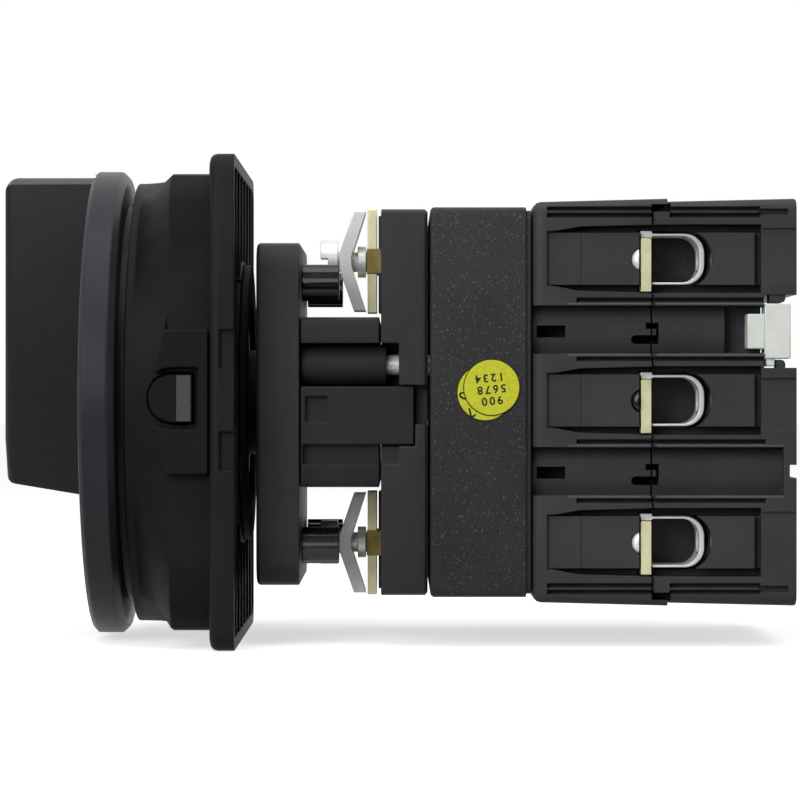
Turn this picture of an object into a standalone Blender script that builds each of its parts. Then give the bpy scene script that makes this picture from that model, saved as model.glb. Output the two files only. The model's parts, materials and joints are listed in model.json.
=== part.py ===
"""Door-mounted main isolator switch: rotary handle, panel flange, cam drive and three-pole contact block.

Metres, +Z up. +X runs along the drive shaft from the handle to the rear, and the origin is on the
shaft at the panel plane, which is the rear face of the front plate. -Y is the near side of the photo.
"""

import math

import bmesh
import bpy
from mathutils import Matrix
from mathutils import Vector

MM = 0.001

# Fits
SEAT = 0.3 * MM
RUN = 0.3 * MM
THROUGH = 2.0 * MM

# Handle
GRIP_RISE = 16.6 * MM
GRIP_TOP = 43.0 * MM
GRIP_FOOT = 18.1 * MM
GRIP_CREASE = 8.5 * MM
GRIP_HALF = 12.5 * MM
GRIP_FOOT_HALF = 7.5 * MM
GRIP_DRAFT = 0.93
GRIP_FOOT_DRAFT = 0.86
GRIP_ROUND = 1.6 * MM
GRIP_SINK = 0.6 * MM
DISC_RADIUS = 44.2 * MM
DISC_THICK = 6.5 * MM
DISC_EDGE = 0.8 * MM
DISC_REAR_EDGE = 1.3 * MM
DISC_GAP = 1.8 * MM
NECK_RADIUS = 37.5 * MM
HUB_RADIUS = 9.5 * MM
HUB_LENGTH = 8.0 * MM
HANDLE_SCREW_RADIUS = 1.6 * MM
HANDLE_SCREW_HEAD = 3.4 * MM
HANDLE_SCREW_LENGTH = 16.0 * MM
HANDLE_SCREW_HEAD_THICK = 1.8 * MM

# Padlock slide
SLIDE_HALF = 3.0 * MM
SLIDE_DEPTH = 8.2 * MM
SLIDE_LENGTH = 31.0 * MM
SLIDE_FLOOR = 3.6 * MM
SLIDE_HOLE_RADIUS = 3.2 * MM
SLIDE_HOLE_PITCH = 8.0 * MM
SLIDE_HOLES = 2
SLIDE_END = 5.0 * MM

# Lock housing and front plate
HOUSING_DEPTH = 15.5 * MM
HOUSING_SIDE = 84.0 * MM
HOUSING_CORNER = 8.8 * MM
HOUSING_SINK = 0.6 * MM
COLLAR_RADIUS = 41.9 * MM
COLLAR_LENGTH = 1.4 * MM
SHOULDER_LENGTH = 6.8 * MM
HOUSING_WELL_RADIUS = 36.6 * MM
HOUSING_WELL_DEPTH = 9.0 * MM
PLATE_SIDE = 90.0 * MM
PLATE_THICK = 4.5 * MM
PLATE_CORNER = 4.0 * MM
PLATE_EDGE = 1.4 * MM
PLATE_RIM = 2.2 * MM
PLATE_POCKET = 2.9 * MM
PLATE_BOSS_RADIUS = 27.0 * MM
PLATE_RIB = 1.3 * MM
PLATE_RIB_PITCH = 13.0 * MM
PLATE_HOLE = 1.9 * MM
EDGE_NOTCH_UPPER = (5.9 * MM, 13.1 * MM)
EDGE_NOTCH_LOWER = (-12.4 * MM, -5.3 * MM)
EDGE_NOTCH_LENGTH = 2.7 * MM
EDGE_NOTCH_DEEP = 1.0 * MM
SEAL_RADIUS = 26.3 * MM
SEAL_BORE = 20.0 * MM
SEAL_THICK = 1.2 * MM

# Release tabs, one on each side of the lock housing
TAB_MIDDLE = 0.7 * MM
TAB_HALF = 4.4 * MM
TAB_LENGTH = 8.0 * MM
TAB_DEPTH = 5.0 * MM
TAB_TRAVEL = 1.5 * MM
TAB_REAR = 7.6 * MM
TAB_SUNK = 0.9 * MM
TAB_WELL_MARGIN = 1.2 * MM
TAB_RECESS = 1.6 * MM
CHEEK_FRONT_LONG = 14.4 * MM
CHEEK_FRONT_SHORT = 12.6 * MM
CHEEK_HALF = 13.0 * MM
CHEEK_INNER_HALF = 4.8 * MM

# Mounting flange behind the panel
PANEL_SPACE = 3.4 * MM
FLANGE_THICK = 7.9 * MM
FLANGE_HALF = 31.7 * MM
FLANGE_HALF_DEPTH = 30.0 * MM
FLANGE_CORNER = 5.0 * MM
FLANGE_DROP = 2.2 * MM
SLEEVE_RADIUS = 10.0 * MM
SHAFT_BORE = 5.9 * MM
CAP_RADIUS = 3.4 * MM
CAP_LENGTH = 7.0 * MM
CAP_NECK_CLEAR = 3.1 * MM
CAP_SPACING_DEPTH = 46.0 * MM
CAP_FLUTES = 8
CAP_FLUTE_DEPTH = 0.35 * MM
CAP_HOLE = 1.7 * MM
CAP_HOLE_DEPTH = 4.0 * MM

# Neck frame between the flange and the detent housing
NECK_LENGTH = 14.5 * MM
NECK_TOP = 15.7 * MM
NECK_HALF_DEPTH = 29.5 * MM
CHANNEL_TOP = 10.9 * MM
CHANNEL_FOOT = 2.9 * MM
CHANNEL_REACH = 3.3 * MM
CHANNEL_DEEP = 9.0 * MM
TONGUE_FOOT = -7.8 * MM
TONGUE_REACH = 6.0 * MM
TONGUE_DEEP = 5.0 * MM
PANEL_FOOT = -11.4 * MM
PANEL_DEEP = 1.6 * MM
NECK_BORE = 12.0 * MM
TIE_RADIUS = 1.9 * MM
TIE_SLEEVE_RADIUS = 3.8 * MM
SLEEVE_REACH = 1.3 * MM
TIE_DEPTH = 24.0 * MM
TIE_END = 15.0 * MM
WINDOW_FRONT = 0.8 * MM
WINDOW_LENGTH = 4.1 * MM
WINDOW_HALF = 2.4 * MM
WINDOW_MIDDLE = -1.3 * MM
WINDOW_DEEP = 1.2 * MM
NOTCH_MIDDLE = -0.5 * MM
NOTCH_HALF = 3.6 * MM
NOTCH_DEEP = 3.0 * MM

# Detent housing, wheel and plunger
DETENT_DEPTH = 8.6 * MM
DETENT_HALF = 35.6 * MM
DETENT_HALF_DEPTH = 30.0 * MM
BODY_CORNER = 1.6 * MM
BODY_EDGE = 0.5 * MM
WHEEL_RADIUS = 13.0 * MM
WHEEL_NOTCH = 2.0 * MM
WHEEL_NOTCHES = 4
WHEEL_THICK = 4.4 * MM
WHEEL_FRONT = 2.2 * MM
PLUNGER_RADIUS = 2.3 * MM
PLUNGER_LENGTH = 8.0 * MM
PLUNGER_POINT = 1.6 * MM
PLUNGER_TIP = 0.9 * MM
DETENT_SPRING_LENGTH = 8.5 * MM
DETENT_SPRING_RADIUS = 1.7 * MM

# Drive shaft
SHAFT_SIDE = 7.0 * MM
SHAFT_OVERHANG = 1.5 * MM

# Cam housing and face cam
CAM_DEPTH = 17.6 * MM
CAM_HALF = 35.8 * MM
CAM_LIP = 0.9 * MM
CAM_LIP_INSET = 0.6 * MM
CAM_WELL_RADIUS = 19.2 * MM
CAM_WALL = 2.6 * MM
CAM_RADIUS = 18.0 * MM
CAM_TRACK_INNER = 10.0 * MM
CAM_WEB = 4.0 * MM
CAM_STEPS = 36
CAM_DWELL = 20
FOLLOWER_ANGLE = math.radians(90)
FOLLOWER_RADIUS = 1.8 * MM
FOLLOWER_ARM = 14.0 * MM
STROKE = 5.0 * MM
TURN = math.radians(90)

# Contact block
STACK_GAP = 0.45 * MM
BLOCK_HALF = 36.7 * MM
BLOCK_HALF_DEPTH = 33.0 * MM
BLOCK_CORNER = 2.0 * MM
BASE_DEPTH = 21.8 * MM
COVER_DEPTH = 26.3 * MM
COVER_DRAFT = 0.5 * MM
POLES = 3
POLE_PITCH = 26.0 * MM
POLE_LIFT = 0.3 * MM
BAY_HALF = 4.85 * MM
BAY_SLOPE = 1.9 * MM
BAY_DEEP = 2.8 * MM
BAY_FRONT_WALL = 2.4 * MM
BAY_REAR_WALL = 7.5 * MM
BAY_END_DEEP = 1.2 * MM
LANE_HALF = 5.0 * MM
LANE_DEEP = 4.2 * MM
LANE_REAR_WALL = 4.5 * MM
LIP_LENGTH = 2.6 * MM
LIP_DEEP = 1.1 * MM
RAIL_SLOT_HALF = 0.5 * MM
RAIL_SLOT_INSET = 3.6 * MM
RAIL_SLOT_DEEP = 1.4 * MM
CARRIER_WELL_HALF_DEPTH = 19.0 * MM
CARRIER_WELL_HALF = 32.5 * MM
CARRIER_WELL_WALL = 3.4 * MM

# Box terminals, one on each side of each pole
BAR_THICK = 1.9 * MM
BAR_HEIGHT = 9.9 * MM
BAR_DROP = 1.1 * MM
BAR_INSET = 1.4 * MM
BAR_INNER = 11.5 * MM
STRAP_HALF = 4.7 * MM
STRAP_THICK = 0.55 * MM
STRAP_LENGTH = 11.7 * MM
STRAP_WIDTH = 10.0 * MM
STRAP_ROUND = 2.4 * MM
MOUTH_HALF = 5.3 * MM
MOUTH_LENGTH = 11.0 * MM
MOUTH_DEEP = 14.5 * MM
CLAMP_SCREW_RADIUS = 2.0 * MM
CLAMP_SCREW_LENGTH = 9.0 * MM
CLAMP_HEAD_RADIUS = 3.4 * MM
CLAMP_HEAD_THICK = 3.0 * MM
SCREW_SLOT = 1.2 * MM
SLOT_DEEP = 1.4 * MM
CLAMP_INSET = 7.4 * MM

# Moving contacts
CARRIER_BAR = 4.0 * MM
CARRIER_HALF_DEPTH = 6.0 * MM
CARRIER_MARGIN = 5.0 * MM
STIRRUP_HALF = 4.6 * MM
STIRRUP_CAP = 2.2 * MM
BRIDGE_THICK = 1.8 * MM
BRIDGE_HALF = 3.0 * MM
BRIDGE_REACH = 15.5 * MM
TIP_RADIUS = 2.2 * MM
TIP_RISE = 0.8 * MM
CONTACT_SPRING_RADIUS = 2.1 * MM
RETURN_SPRING_RADIUS = 3.2 * MM
RETURN_SPRING_LENGTH = 16.0 * MM
RETURN_WELL_RADIUS = 4.2 * MM
SPRING_WIRE = 0.35 * MM

# Saddle terminals above and below the neck
SADDLE_LIFT = 26.9 * MM
SADDLE_BAR_LENGTH = 19.7 * MM
SADDLE_BAR_THICK = 1.8 * MM
SADDLE_BAR_HALF = 4.5 * MM
SADDLE_PAD = 0.6 * MM
SADDLE_NUT_RADIUS = 2.6 * MM
SADDLE_NUT_CLEAR = 0.2 * MM
SADDLE_RISE = 5.4 * MM
SADDLE_APEX_HALF = 1.5 * MM
SADDLE_WASHER_RADIUS = 3.0 * MM
SADDLE_CLAMP_THICK = 2.3 * MM
SADDLE_CLAMP_LENGTH = 19.0 * MM
SADDLE_SCREW_RADIUS = 1.9 * MM
SADDLE_HEAD_RADIUS = 4.2 * MM
SADDLE_HEAD_THICK = 3.3 * MM

# End plug in the upper lane
PLUG_LENGTH = 8.1 * MM
PLUG_NECK = 3.3 * MM
PLUG_INSET = 1.1 * MM
PLUG_HALF = 4.6 * MM
PLUG_NECK_HALF = 3.2 * MM

# Stations along the shaft
HOUSING_REAR = -PLATE_THICK
HOUSING_FRONT = HOUSING_REAR - HOUSING_DEPTH
DISC_REAR = HOUSING_FRONT - DISC_GAP
DISC_FRONT = DISC_REAR - DISC_THICK
GRIP_FRONT = DISC_FRONT - GRIP_RISE
FLANGE_REAR = PANEL_SPACE + FLANGE_THICK
NECK_FRONT = FLANGE_REAR + SEAT
NECK_REAR = NECK_FRONT + NECK_LENGTH
DETENT_FRONT = NECK_REAR + SEAT
DETENT_REAR = DETENT_FRONT + DETENT_DEPTH
SADDLE_NUT_REAR = DETENT_FRONT - SADDLE_NUT_CLEAR
CAP_SPACING = 2 * (NECK_TOP + FLANGE_DROP + CAP_RADIUS + CAP_NECK_CLEAR)
CAM_FRONT = DETENT_REAR + STACK_GAP
CAM_REAR = CAM_FRONT + CAM_DEPTH
BASE_FRONT = CAM_REAR + CAM_LIP + SEAT
BASE_REAR = BASE_FRONT + BASE_DEPTH
COVER_FRONT = BASE_REAR + SEAT
COVER_REAR = COVER_FRONT + COVER_DEPTH
BAR_REAR = BASE_REAR
BAR_FRONT = BAR_REAR - BAR_THICK
CLAMP_DEPTH = BLOCK_HALF_DEPTH - CLAMP_INSET
TAB_FRONT = -(TAB_REAR + TAB_LENGTH)
SIDES = {"near": -1, "far": 1}
POLE_HEIGHTS = [POLE_LIFT + POLE_PITCH * (1 - pole) for pole in range(POLES)]
LANE_HEIGHTS = [(upper + lower) / 2 for upper, lower in zip(POLE_HEIGHTS, POLE_HEIGHTS[1:])]

# Surfaces: colour in linear light, metallic value and roughness
FINISHES = {
    "handle_plastic": ((0.024, 0.024, 0.028), 0.0, 0.42),
    "housing_plastic": ((0.022, 0.022, 0.026), 0.0, 0.5),
    "body_plastic": ((0.035, 0.033, 0.036), 0.0, 0.62),
    "gloss_black": ((0.01, 0.01, 0.011), 0.0, 0.25),
    "rubber": ((0.01, 0.01, 0.011), 0.0, 0.8),
    "nylon": ((0.75, 0.8, 0.72), 0.0, 0.4),
    "zinc": ((0.75, 0.78, 0.78), 1.0, 0.3),
    "brass": ((0.83, 0.75, 0.4), 1.0, 0.3),
    "steel": ((0.6, 0.61, 0.62), 1.0, 0.35),
}

X_AXIS = Vector((1, 0, 0))
ALONG = {
    "x": Matrix.Rotation(math.radians(90), 4, "Y"),
    "y": Matrix.Rotation(math.radians(-90), 4, "X"),
    "z": Matrix.Identity(4),
}


def make_collection(name):
    collection = bpy.data.collections.new(name)
    bpy.context.scene.collection.children.link(collection)
    return collection


def clear_scene():
    for old in list(bpy.data.objects):
        bpy.data.objects.remove(old)


clear_scene()
PARTS = make_collection("main_isolator_switch")
CUTTERS = make_collection("cutters")


def finish(name):
    """The named surface as a Principled BSDF material, made once."""
    material = bpy.data.materials.get(name)
    if material:
        return material
    colour, metallic, roughness = FINISHES[name]
    material = bpy.data.materials.new(name)
    material.use_nodes = True
    shader = material.node_tree.nodes["Principled BSDF"]
    shader.inputs["Base Color"].default_value = (*colour, 1)
    shader.inputs["Metallic"].default_value = metallic
    shader.inputs["Roughness"].default_value = roughness
    return material


def mesh_from(name, bm):
    bmesh.ops.recalc_face_normals(bm, faces=bm.faces)
    mesh = bpy.data.meshes.new(name)
    bm.to_mesh(mesh)
    bm.free()
    mesh.shade_smooth()
    mesh.set_sharp_from_angle(angle=math.radians(35))
    return mesh


def piece(name, bm, surface):
    """A sub-part of the switch, from a bmesh in world coordinates."""
    part = bpy.data.objects.new(name, mesh_from(name, bm))
    part.data.materials.append(finish(surface))
    PARTS.objects.link(part)
    return part


def tool(name, bm):
    """A hidden body that cuts a piece or is joined to it."""
    guide = bpy.data.objects.new(name, mesh_from(name, bm))
    guide.hide_render = True
    guide.display_type = "WIRE"
    CUTTERS.objects.link(guide)
    return guide


def combine(part, operation, label, bm):
    modifier = part.modifiers.new(label, "BOOLEAN")
    modifier.operation = operation
    modifier.solver = "EXACT"
    modifier.object = tool(f"{part.name}_{label}", bm)


def cut(part, label, bm):
    combine(part, "DIFFERENCE", label, bm)


def add(part, label, bm):
    combine(part, "UNION", label, bm)


def gather(shapes):
    """One bmesh from several that don't meet."""
    bm = bmesh.new()
    for shape in shapes:
        mesh = bpy.data.meshes.new("shape")
        shape.to_mesh(mesh)
        shape.free()
        bm.from_mesh(mesh)
        bpy.data.meshes.remove(mesh)
    return bm


def box(low, high):
    low = Vector(low)
    size = Vector(high) - low
    bm = bmesh.new()
    place = Matrix.Translation(low + size / 2) @ Matrix.Diagonal((*size, 1))
    bmesh.ops.create_cube(bm, size=1, matrix=place)
    return bm


def rounded_box(low, high, radius, along, segments=3):
    """A box whose four edges along one axis are rounded."""
    bm = box(low, high)
    index = "xyz".index(along)
    edges = [edge for edge in bm.edges if abs((edge.verts[0].co - edge.verts[1].co)[index]) > 1e-6]
    bmesh.ops.bevel(bm, geom=edges, offset=radius, segments=segments, profile=0.5, affect="EDGES")
    return bm


def soften(bm, width, chosen, segments=1):
    """Round the edges that the test picks."""
    edges = [edge for edge in bm.edges if chosen(edge)]
    bmesh.ops.bevel(
        bm, geom=edges, offset=width, segments=segments, profile=0.5, affect="EDGES", clamp_overlap=True
    )
    return bm


def rim_at(axis, place):
    """Picks the edges that lie in the plane at this place along the axis."""
    index = "xyz".index(axis)
    return lambda edge: all(abs(vert.co[index] - place) < 1e-6 for vert in edge.verts)


def rod(along, start, end, centre, radius, end_radius=None, segments=28):
    """A cylinder or cone between two stations on an axis; centre is its place on the other two axes."""
    middle = list(centre)
    middle.insert("xyz".index(along), (start + end) / 2)
    bm = bmesh.new()
    bmesh.ops.create_cone(
        bm,
        cap_ends=True,
        segments=segments,
        radius1=radius,
        radius2=radius if end_radius is None else end_radius,
        depth=end - start,
        matrix=Matrix.Translation(middle) @ ALONG[along],
    )
    return bm


def square_bar(start, end, side):
    half = side / 2
    return box((start, -half, -half), (end, half, half))


def carried(ring, travel):
    """A flat outline carried along a straight line."""
    bm = bmesh.new()
    bm.faces.new([bm.verts.new(point) for point in ring])
    grown = bmesh.ops.extrude_face_region(bm, geom=list(bm.faces))
    moved = [item for item in grown["geom"] if isinstance(item, bmesh.types.BMVert)]
    bmesh.ops.translate(bm, verts=moved, vec=travel)
    return bm


def prism(outline, start, end):
    """An outline of (y, z) points carried along X."""
    return carried([(start, y, z) for y, z in outline], (end - start, 0, 0))


def side_prism(outline, start, end):
    """An outline of (x, z) points carried along Y."""
    return carried([(x, start, z) for x, z in outline], (0, end - start, 0))


def arc(centre, radius, first, last, steps):
    """Points on an arc, in degrees, both ends included."""
    turns = [math.radians(first + (last - first) * step / steps) for step in range(steps + 1)]
    return [(centre[0] + radius * math.cos(turn), centre[1] + radius * math.sin(turn)) for turn in turns]


def turned(name, profile, surface, segments=64):
    """A profile of (x, radius) points, front to rear, turned round the shaft."""
    bm = bmesh.new()
    verts = [bm.verts.new((x, 0, radius)) for x, radius in reversed(profile)]
    for first, second in zip(verts, verts[1:]):
        bm.edges.new((first, second))
    if profile[0][1] > 0:
        bm.edges.new((verts[-1], verts[0]))
    mesh = bpy.data.meshes.new(name)
    bm.to_mesh(mesh)
    bm.free()
    part = bpy.data.objects.new(name, mesh)
    part.data.materials.append(finish(surface))
    PARTS.objects.link(part)
    screw = part.modifiers.new("turn", "SCREW")
    screw.axis = "X"
    screw.steps = segments
    screw.render_steps = segments
    screw.use_merge_vertices = True
    screw.merge_threshold = 1e-6
    screw.use_smooth_shade = True
    return part


def loft(rings):
    """A closed skin over rings that have the same number of points."""
    bm = bmesh.new()
    loops = [[bm.verts.new(point) for point in ring] for ring in rings]
    for lower, upper in zip(loops, loops[1:]):
        for index in range(len(lower)):
            after = (index + 1) % len(lower)
            bm.faces.new((lower[index], lower[after], upper[after], upper[index]))
    bm.faces.new(loops[0])
    bm.faces.new(loops[-1])
    return bm


def coil(name, along, start, end, centre, radius, turns, surface):
    """A compression spring between two stations on an axis."""
    points_per_turn = 10
    curve = bpy.data.curves.new(name, "CURVE")
    curve.dimensions = "3D"
    curve.bevel_depth = SPRING_WIRE
    curve.bevel_resolution = 1
    curve.use_fill_caps = True
    spline = curve.splines.new("POLY")
    count = turns * points_per_turn + 1
    spline.points.add(count - 1)
    first = start + SPRING_WIRE
    last = end - SPRING_WIRE
    index = "xyz".index(along)
    for step, point in enumerate(spline.points):
        angle = math.tau * step / points_per_turn
        place = [centre[0] + radius * math.cos(angle), centre[1] + radius * math.sin(angle)]
        place.insert(index, first + (last - first) * step / (count - 1))
        point.co = (*place, 1)
    spring = bpy.data.objects.new(name, curve)
    spring.data.materials.append(finish(surface))
    PARTS.objects.link(spring)
    return spring


def squared_radius(angle, half, corner):
    """Distance from the centre to the edge of a rounded square, in this direction."""
    across = abs(math.cos(angle))
    rise = abs(math.sin(angle))
    reach = half / max(across, rise)
    straight = half - corner
    if reach * min(across, rise) <= straight:
        return reach
    middle = straight * (across + rise)
    return middle + math.sqrt(middle * middle - 2 * straight * straight + corner * corner)


# Handle


def handle_grip():
    """The pointer grip: straight sides, a tapered foot and a slight draft towards its face."""
    top = math.sqrt(GRIP_TOP**2 - GRIP_HALF**2)
    rise = GRIP_TOP - top
    crown = [(GRIP_HALF * side, top + rise * (1 - side * side)) for side in (1, 0.6, 0.2, -0.2, -0.6, -1)]
    outline = [(-GRIP_HALF, -GRIP_CREASE), (-GRIP_FOOT_HALF, -GRIP_FOOT)]
    outline += [(GRIP_FOOT_HALF, -GRIP_FOOT), (GRIP_HALF, -GRIP_CREASE)]
    bm = prism(outline + crown, GRIP_FRONT, DISC_FRONT + GRIP_SINK - SEAT)
    for vert in bm.verts:
        if abs(vert.co.x - GRIP_FRONT) < 1e-6:
            vert.co.y *= GRIP_DRAFT
            vert.co.z *= GRIP_FOOT_DRAFT if vert.co.z < 0 else 1
    soften(bm, GRIP_ROUND, rim_at("x", GRIP_FRONT), segments=3)
    grip = piece("handle_grip", bm, "handle_plastic")
    floor = DISC_FRONT - SLIDE_FLOOR
    pocket = box(
        (floor - SLIDE_DEPTH - 2 * RUN, -SLIDE_HALF - RUN, -GRIP_FOOT - THROUGH),
        (floor, SLIDE_HALF + RUN, SLIDE_LENGTH - GRIP_FOOT * GRIP_FOOT_DRAFT + SEAT + RUN),
    )
    cut(grip, "slide_pocket", pocket)
    reach = HANDLE_SCREW_RADIUS + RUN
    cut(grip, "screw_hole", rod("x", floor - THROUGH, DISC_FRONT + THROUGH, (0, 0), reach, segments=16))
    head = HANDLE_SCREW_HEAD + RUN
    depth = HANDLE_SCREW_HEAD_THICK + RUN
    cut(grip, "head_seat", rod("x", floor - THROUGH / 2, floor + depth, (0, 0), head, segments=16))
    return grip


def handle_disc():
    """The round skirt with its glossy rear edge and the neck that turns in the lock housing."""
    profile = [
        (DISC_FRONT, HANDLE_SCREW_RADIUS + RUN),
        (DISC_FRONT, DISC_RADIUS - DISC_EDGE),
        (DISC_FRONT + DISC_EDGE, DISC_RADIUS),
        (DISC_REAR - DISC_REAR_EDGE, DISC_RADIUS),
        (DISC_REAR, DISC_RADIUS - DISC_REAR_EDGE),
        (DISC_REAR, NECK_RADIUS),
        (HOUSING_FRONT - SEAT, NECK_RADIUS),
        (HOUSING_FRONT - SEAT, HUB_RADIUS),
        (HOUSING_FRONT + HUB_LENGTH - SEAT, HUB_RADIUS),
        (HOUSING_FRONT + HUB_LENGTH - SEAT, HANDLE_SCREW_RADIUS + RUN),
    ]
    disc = turned("handle_disc", profile, "gloss_black", segments=60)
    seat = box(
        (DISC_FRONT - THROUGH, -GRIP_HALF - SEAT, -GRIP_FOOT - SEAT),
        (DISC_FRONT + GRIP_SINK, GRIP_HALF + SEAT, GRIP_TOP + SEAT),
    )
    cut(disc, "grip_seat", seat)
    socket = square_bar(DISC_REAR, HOUSING_FRONT + HUB_LENGTH + THROUGH, SHAFT_SIDE + 2 * SEAT)
    cut(disc, "shaft_socket", socket)
    return disc


def handle_screw():
    seat = DISC_FRONT - SLIDE_FLOOR + HANDLE_SCREW_HEAD_THICK + RUN - SEAT
    bm = rod("x", seat - HANDLE_SCREW_HEAD_THICK, seat, (0, 0), HANDLE_SCREW_HEAD, segments=24)
    screw = piece("handle_screw", bm, "zinc")
    end = seat + HANDLE_SCREW_LENGTH
    add(screw, "shank", rod("x", seat - SEAT, end, (0, 0), HANDLE_SCREW_RADIUS, segments=24))
    return screw


def padlock_slide():
    """The bar that is pulled out of the grip's foot to take padlocks, which holds the handle at off."""
    rear = DISC_FRONT - SLIDE_FLOOR - RUN
    low = -GRIP_FOOT * GRIP_FOOT_DRAFT + SEAT
    bm = box((rear - SLIDE_DEPTH, -SLIDE_HALF, low), (rear, SLIDE_HALF, low + SLIDE_LENGTH))
    slide = piece("padlock_slide", bm, "gloss_black")
    for hole in range(SLIDE_HOLES):
        height = low + SLIDE_END + SLIDE_HOLE_PITCH * hole
        place = (rear - SLIDE_DEPTH / 2, height)
        shape = rod("y", -SLIDE_HALF - THROUGH, SLIDE_HALF + THROUGH, place, SLIDE_HOLE_RADIUS, segments=16)
        cut(slide, f"padlock_hole_{hole}", shape)
    return slide


# Lock housing and front plate


def square_ring(x, half, corner, steps):
    angles = [math.tau * (step + 0.5) / steps for step in range(steps)]
    return [
        (
            x,
            squared_radius(angle, half, corner) * math.cos(angle),
            squared_radius(angle, half, corner) * math.sin(angle),
        )
        for angle in angles
    ]


def tab_outline(margin, rear_margin):
    """The D of a release tab, straight at the rear and round at the front."""
    radius = TAB_HALF + margin
    middle = (TAB_FRONT + TAB_HALF, TAB_MIDDLE)
    rear = -TAB_REAR + rear_margin
    return [(rear, TAB_MIDDLE - radius), (rear, TAB_MIDDLE + radius)] + arc(middle, radius, 90, 270, 10)


def fixing_places():
    """Where the four panel screws run: (side, level, y, z)."""
    for side, sign in SIDES.items():
        for level, lift in (("upper", 1), ("lower", -1)):
            height = lift * CAP_SPACING / 2 - FLANGE_DROP
            yield side, level, sign * CAP_SPACING_DEPTH / 2, height


def lock_housing():
    """Round in front, where the handle turns, and square behind, with a release tab's well in each cheek."""
    steps = 56
    half = HOUSING_SIDE / 2
    shoulder = HOUSING_FRONT + COLLAR_LENGTH
    rings = [
        square_ring(HOUSING_FRONT, COLLAR_RADIUS, COLLAR_RADIUS, steps),
        square_ring(shoulder, COLLAR_RADIUS, COLLAR_RADIUS, steps),
        square_ring(shoulder + SHOULDER_LENGTH, half, HOUSING_CORNER, steps),
        square_ring(HOUSING_REAR + HOUSING_SINK - SEAT, half, HOUSING_CORNER, steps),
    ]
    housing = piece("lock_housing", loft(rings), "housing_plastic")
    face = PLATE_SIDE / 2 - SEAT
    cheek = [
        (HOUSING_REAR - SEAT, CHEEK_HALF),
        (-CHEEK_FRONT_SHORT, CHEEK_HALF),
        (-CHEEK_FRONT_LONG, CHEEK_INNER_HALF),
        (-CHEEK_FRONT_LONG, -CHEEK_INNER_HALF),
        (-CHEEK_FRONT_SHORT, -CHEEK_HALF),
        (HOUSING_REAR - SEAT, -CHEEK_HALF),
    ]
    outer = face - TAB_SUNK
    floor = outer - TAB_DEPTH - TAB_TRAVEL - RUN
    for side, sign in SIDES.items():
        add(housing, f"cheek_{side}", side_prism(cheek, sign * face, sign * (half - THROUGH)))
    for side, sign in SIDES.items():
        recess = side_prism(
            tab_outline(TAB_WELL_MARGIN, TAB_WELL_MARGIN),
            sign * (face + THROUGH),
            sign * (outer - TAB_RECESS),
        )
        cut(housing, f"tab_recess_{side}", recess)
        well = side_prism(tab_outline(RUN, RUN), sign * (face + THROUGH), sign * floor)
        cut(housing, f"tab_well_{side}", well)
    well_end = HOUSING_FRONT + HOUSING_WELL_DEPTH
    cut(
        housing,
        "handle_well",
        rod("x", HOUSING_FRONT - THROUGH, well_end, (0, 0), HOUSING_WELL_RADIUS, segments=40),
    )
    reach = HUB_RADIUS + RUN
    cut(housing, "hub_bore", rod("x", well_end - THROUGH, HOUSING_REAR + THROUGH, (0, 0), reach))
    screws = [
        rod("x", well_end - THROUGH, HOUSING_REAR + THROUGH, (y, z), PLATE_HOLE, segments=12)
        for _, _, y, z in fixing_places()
    ]
    cut(housing, "screw_holes", gather(screws))
    return housing


def release_tab(side):
    """The D-shaped push button that frees the handle from the lock housing."""
    sign = SIDES[side]
    outer = PLATE_SIDE / 2 - SEAT - TAB_SUNK
    shape = side_prism(tab_outline(0, 0), sign * outer, sign * (outer - TAB_DEPTH))
    return piece(f"release_tab_{side}", shape, "gloss_black")


def front_plate():
    """The square plate before the panel, hollow and ribbed behind, with the boss that carries the seal."""
    half = PLATE_SIDE / 2
    bm = rounded_box((HOUSING_REAR, -half, -half), (0, half, half), PLATE_CORNER, "x")
    soften(bm, PLATE_EDGE, rim_at("x", HOUSING_REAR), segments=3)
    plate = piece("front_plate", bm, "housing_plastic")
    seat_half = HOUSING_SIDE / 2 + SEAT
    seat = rounded_box(
        (HOUSING_REAR - THROUGH, -seat_half, -seat_half),
        (HOUSING_REAR + HOUSING_SINK, seat_half, seat_half),
        HOUSING_CORNER,
        "x",
    )
    cut(plate, "housing_seat", seat)
    inner = half - PLATE_RIM
    pocket = rounded_box(
        (-PLATE_POCKET, -inner, -inner), (THROUGH, inner, inner), PLATE_CORNER - PLATE_RIM / 2, "x"
    )
    cut(plate, "rear_pocket", pocket)
    add(plate, "boss", rod("x", -PLATE_POCKET - SEAT, 0, (0, 0), PLATE_BOSS_RADIUS, segments=40))
    count = int(inner / PLATE_RIB_PITCH)
    ribs = [
        box(
            (-PLATE_POCKET - SEAT, index * PLATE_RIB_PITCH - PLATE_RIB / 2, -inner - SEAT),
            (-SEAT, index * PLATE_RIB_PITCH + PLATE_RIB / 2, inner + SEAT),
        )
        for index in range(-count, count + 1)
    ]
    add(plate, "ribs", gather(ribs))
    cut(plate, "sleeve_bore", rod("x", HOUSING_REAR - THROUGH, THROUGH, (0, 0), SLEEVE_RADIUS + SEAT))
    screws = [
        rod("x", HOUSING_REAR - THROUGH, THROUGH, (y, z), PLATE_HOLE, segments=12)
        for _, _, y, z in fixing_places()
    ]
    cut(plate, "screw_holes", gather(screws))
    notches = []
    for sign in SIDES.values():
        for low, high in (EDGE_NOTCH_UPPER, EDGE_NOTCH_LOWER):
            near = sorted((sign * (half + THROUGH), sign * (half - EDGE_NOTCH_DEEP)))
            notches.append(box((-EDGE_NOTCH_LENGTH, near[0], low), (THROUGH, near[1], high)))
    cut(plate, "edge_notches", gather(notches))
    return plate


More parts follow.
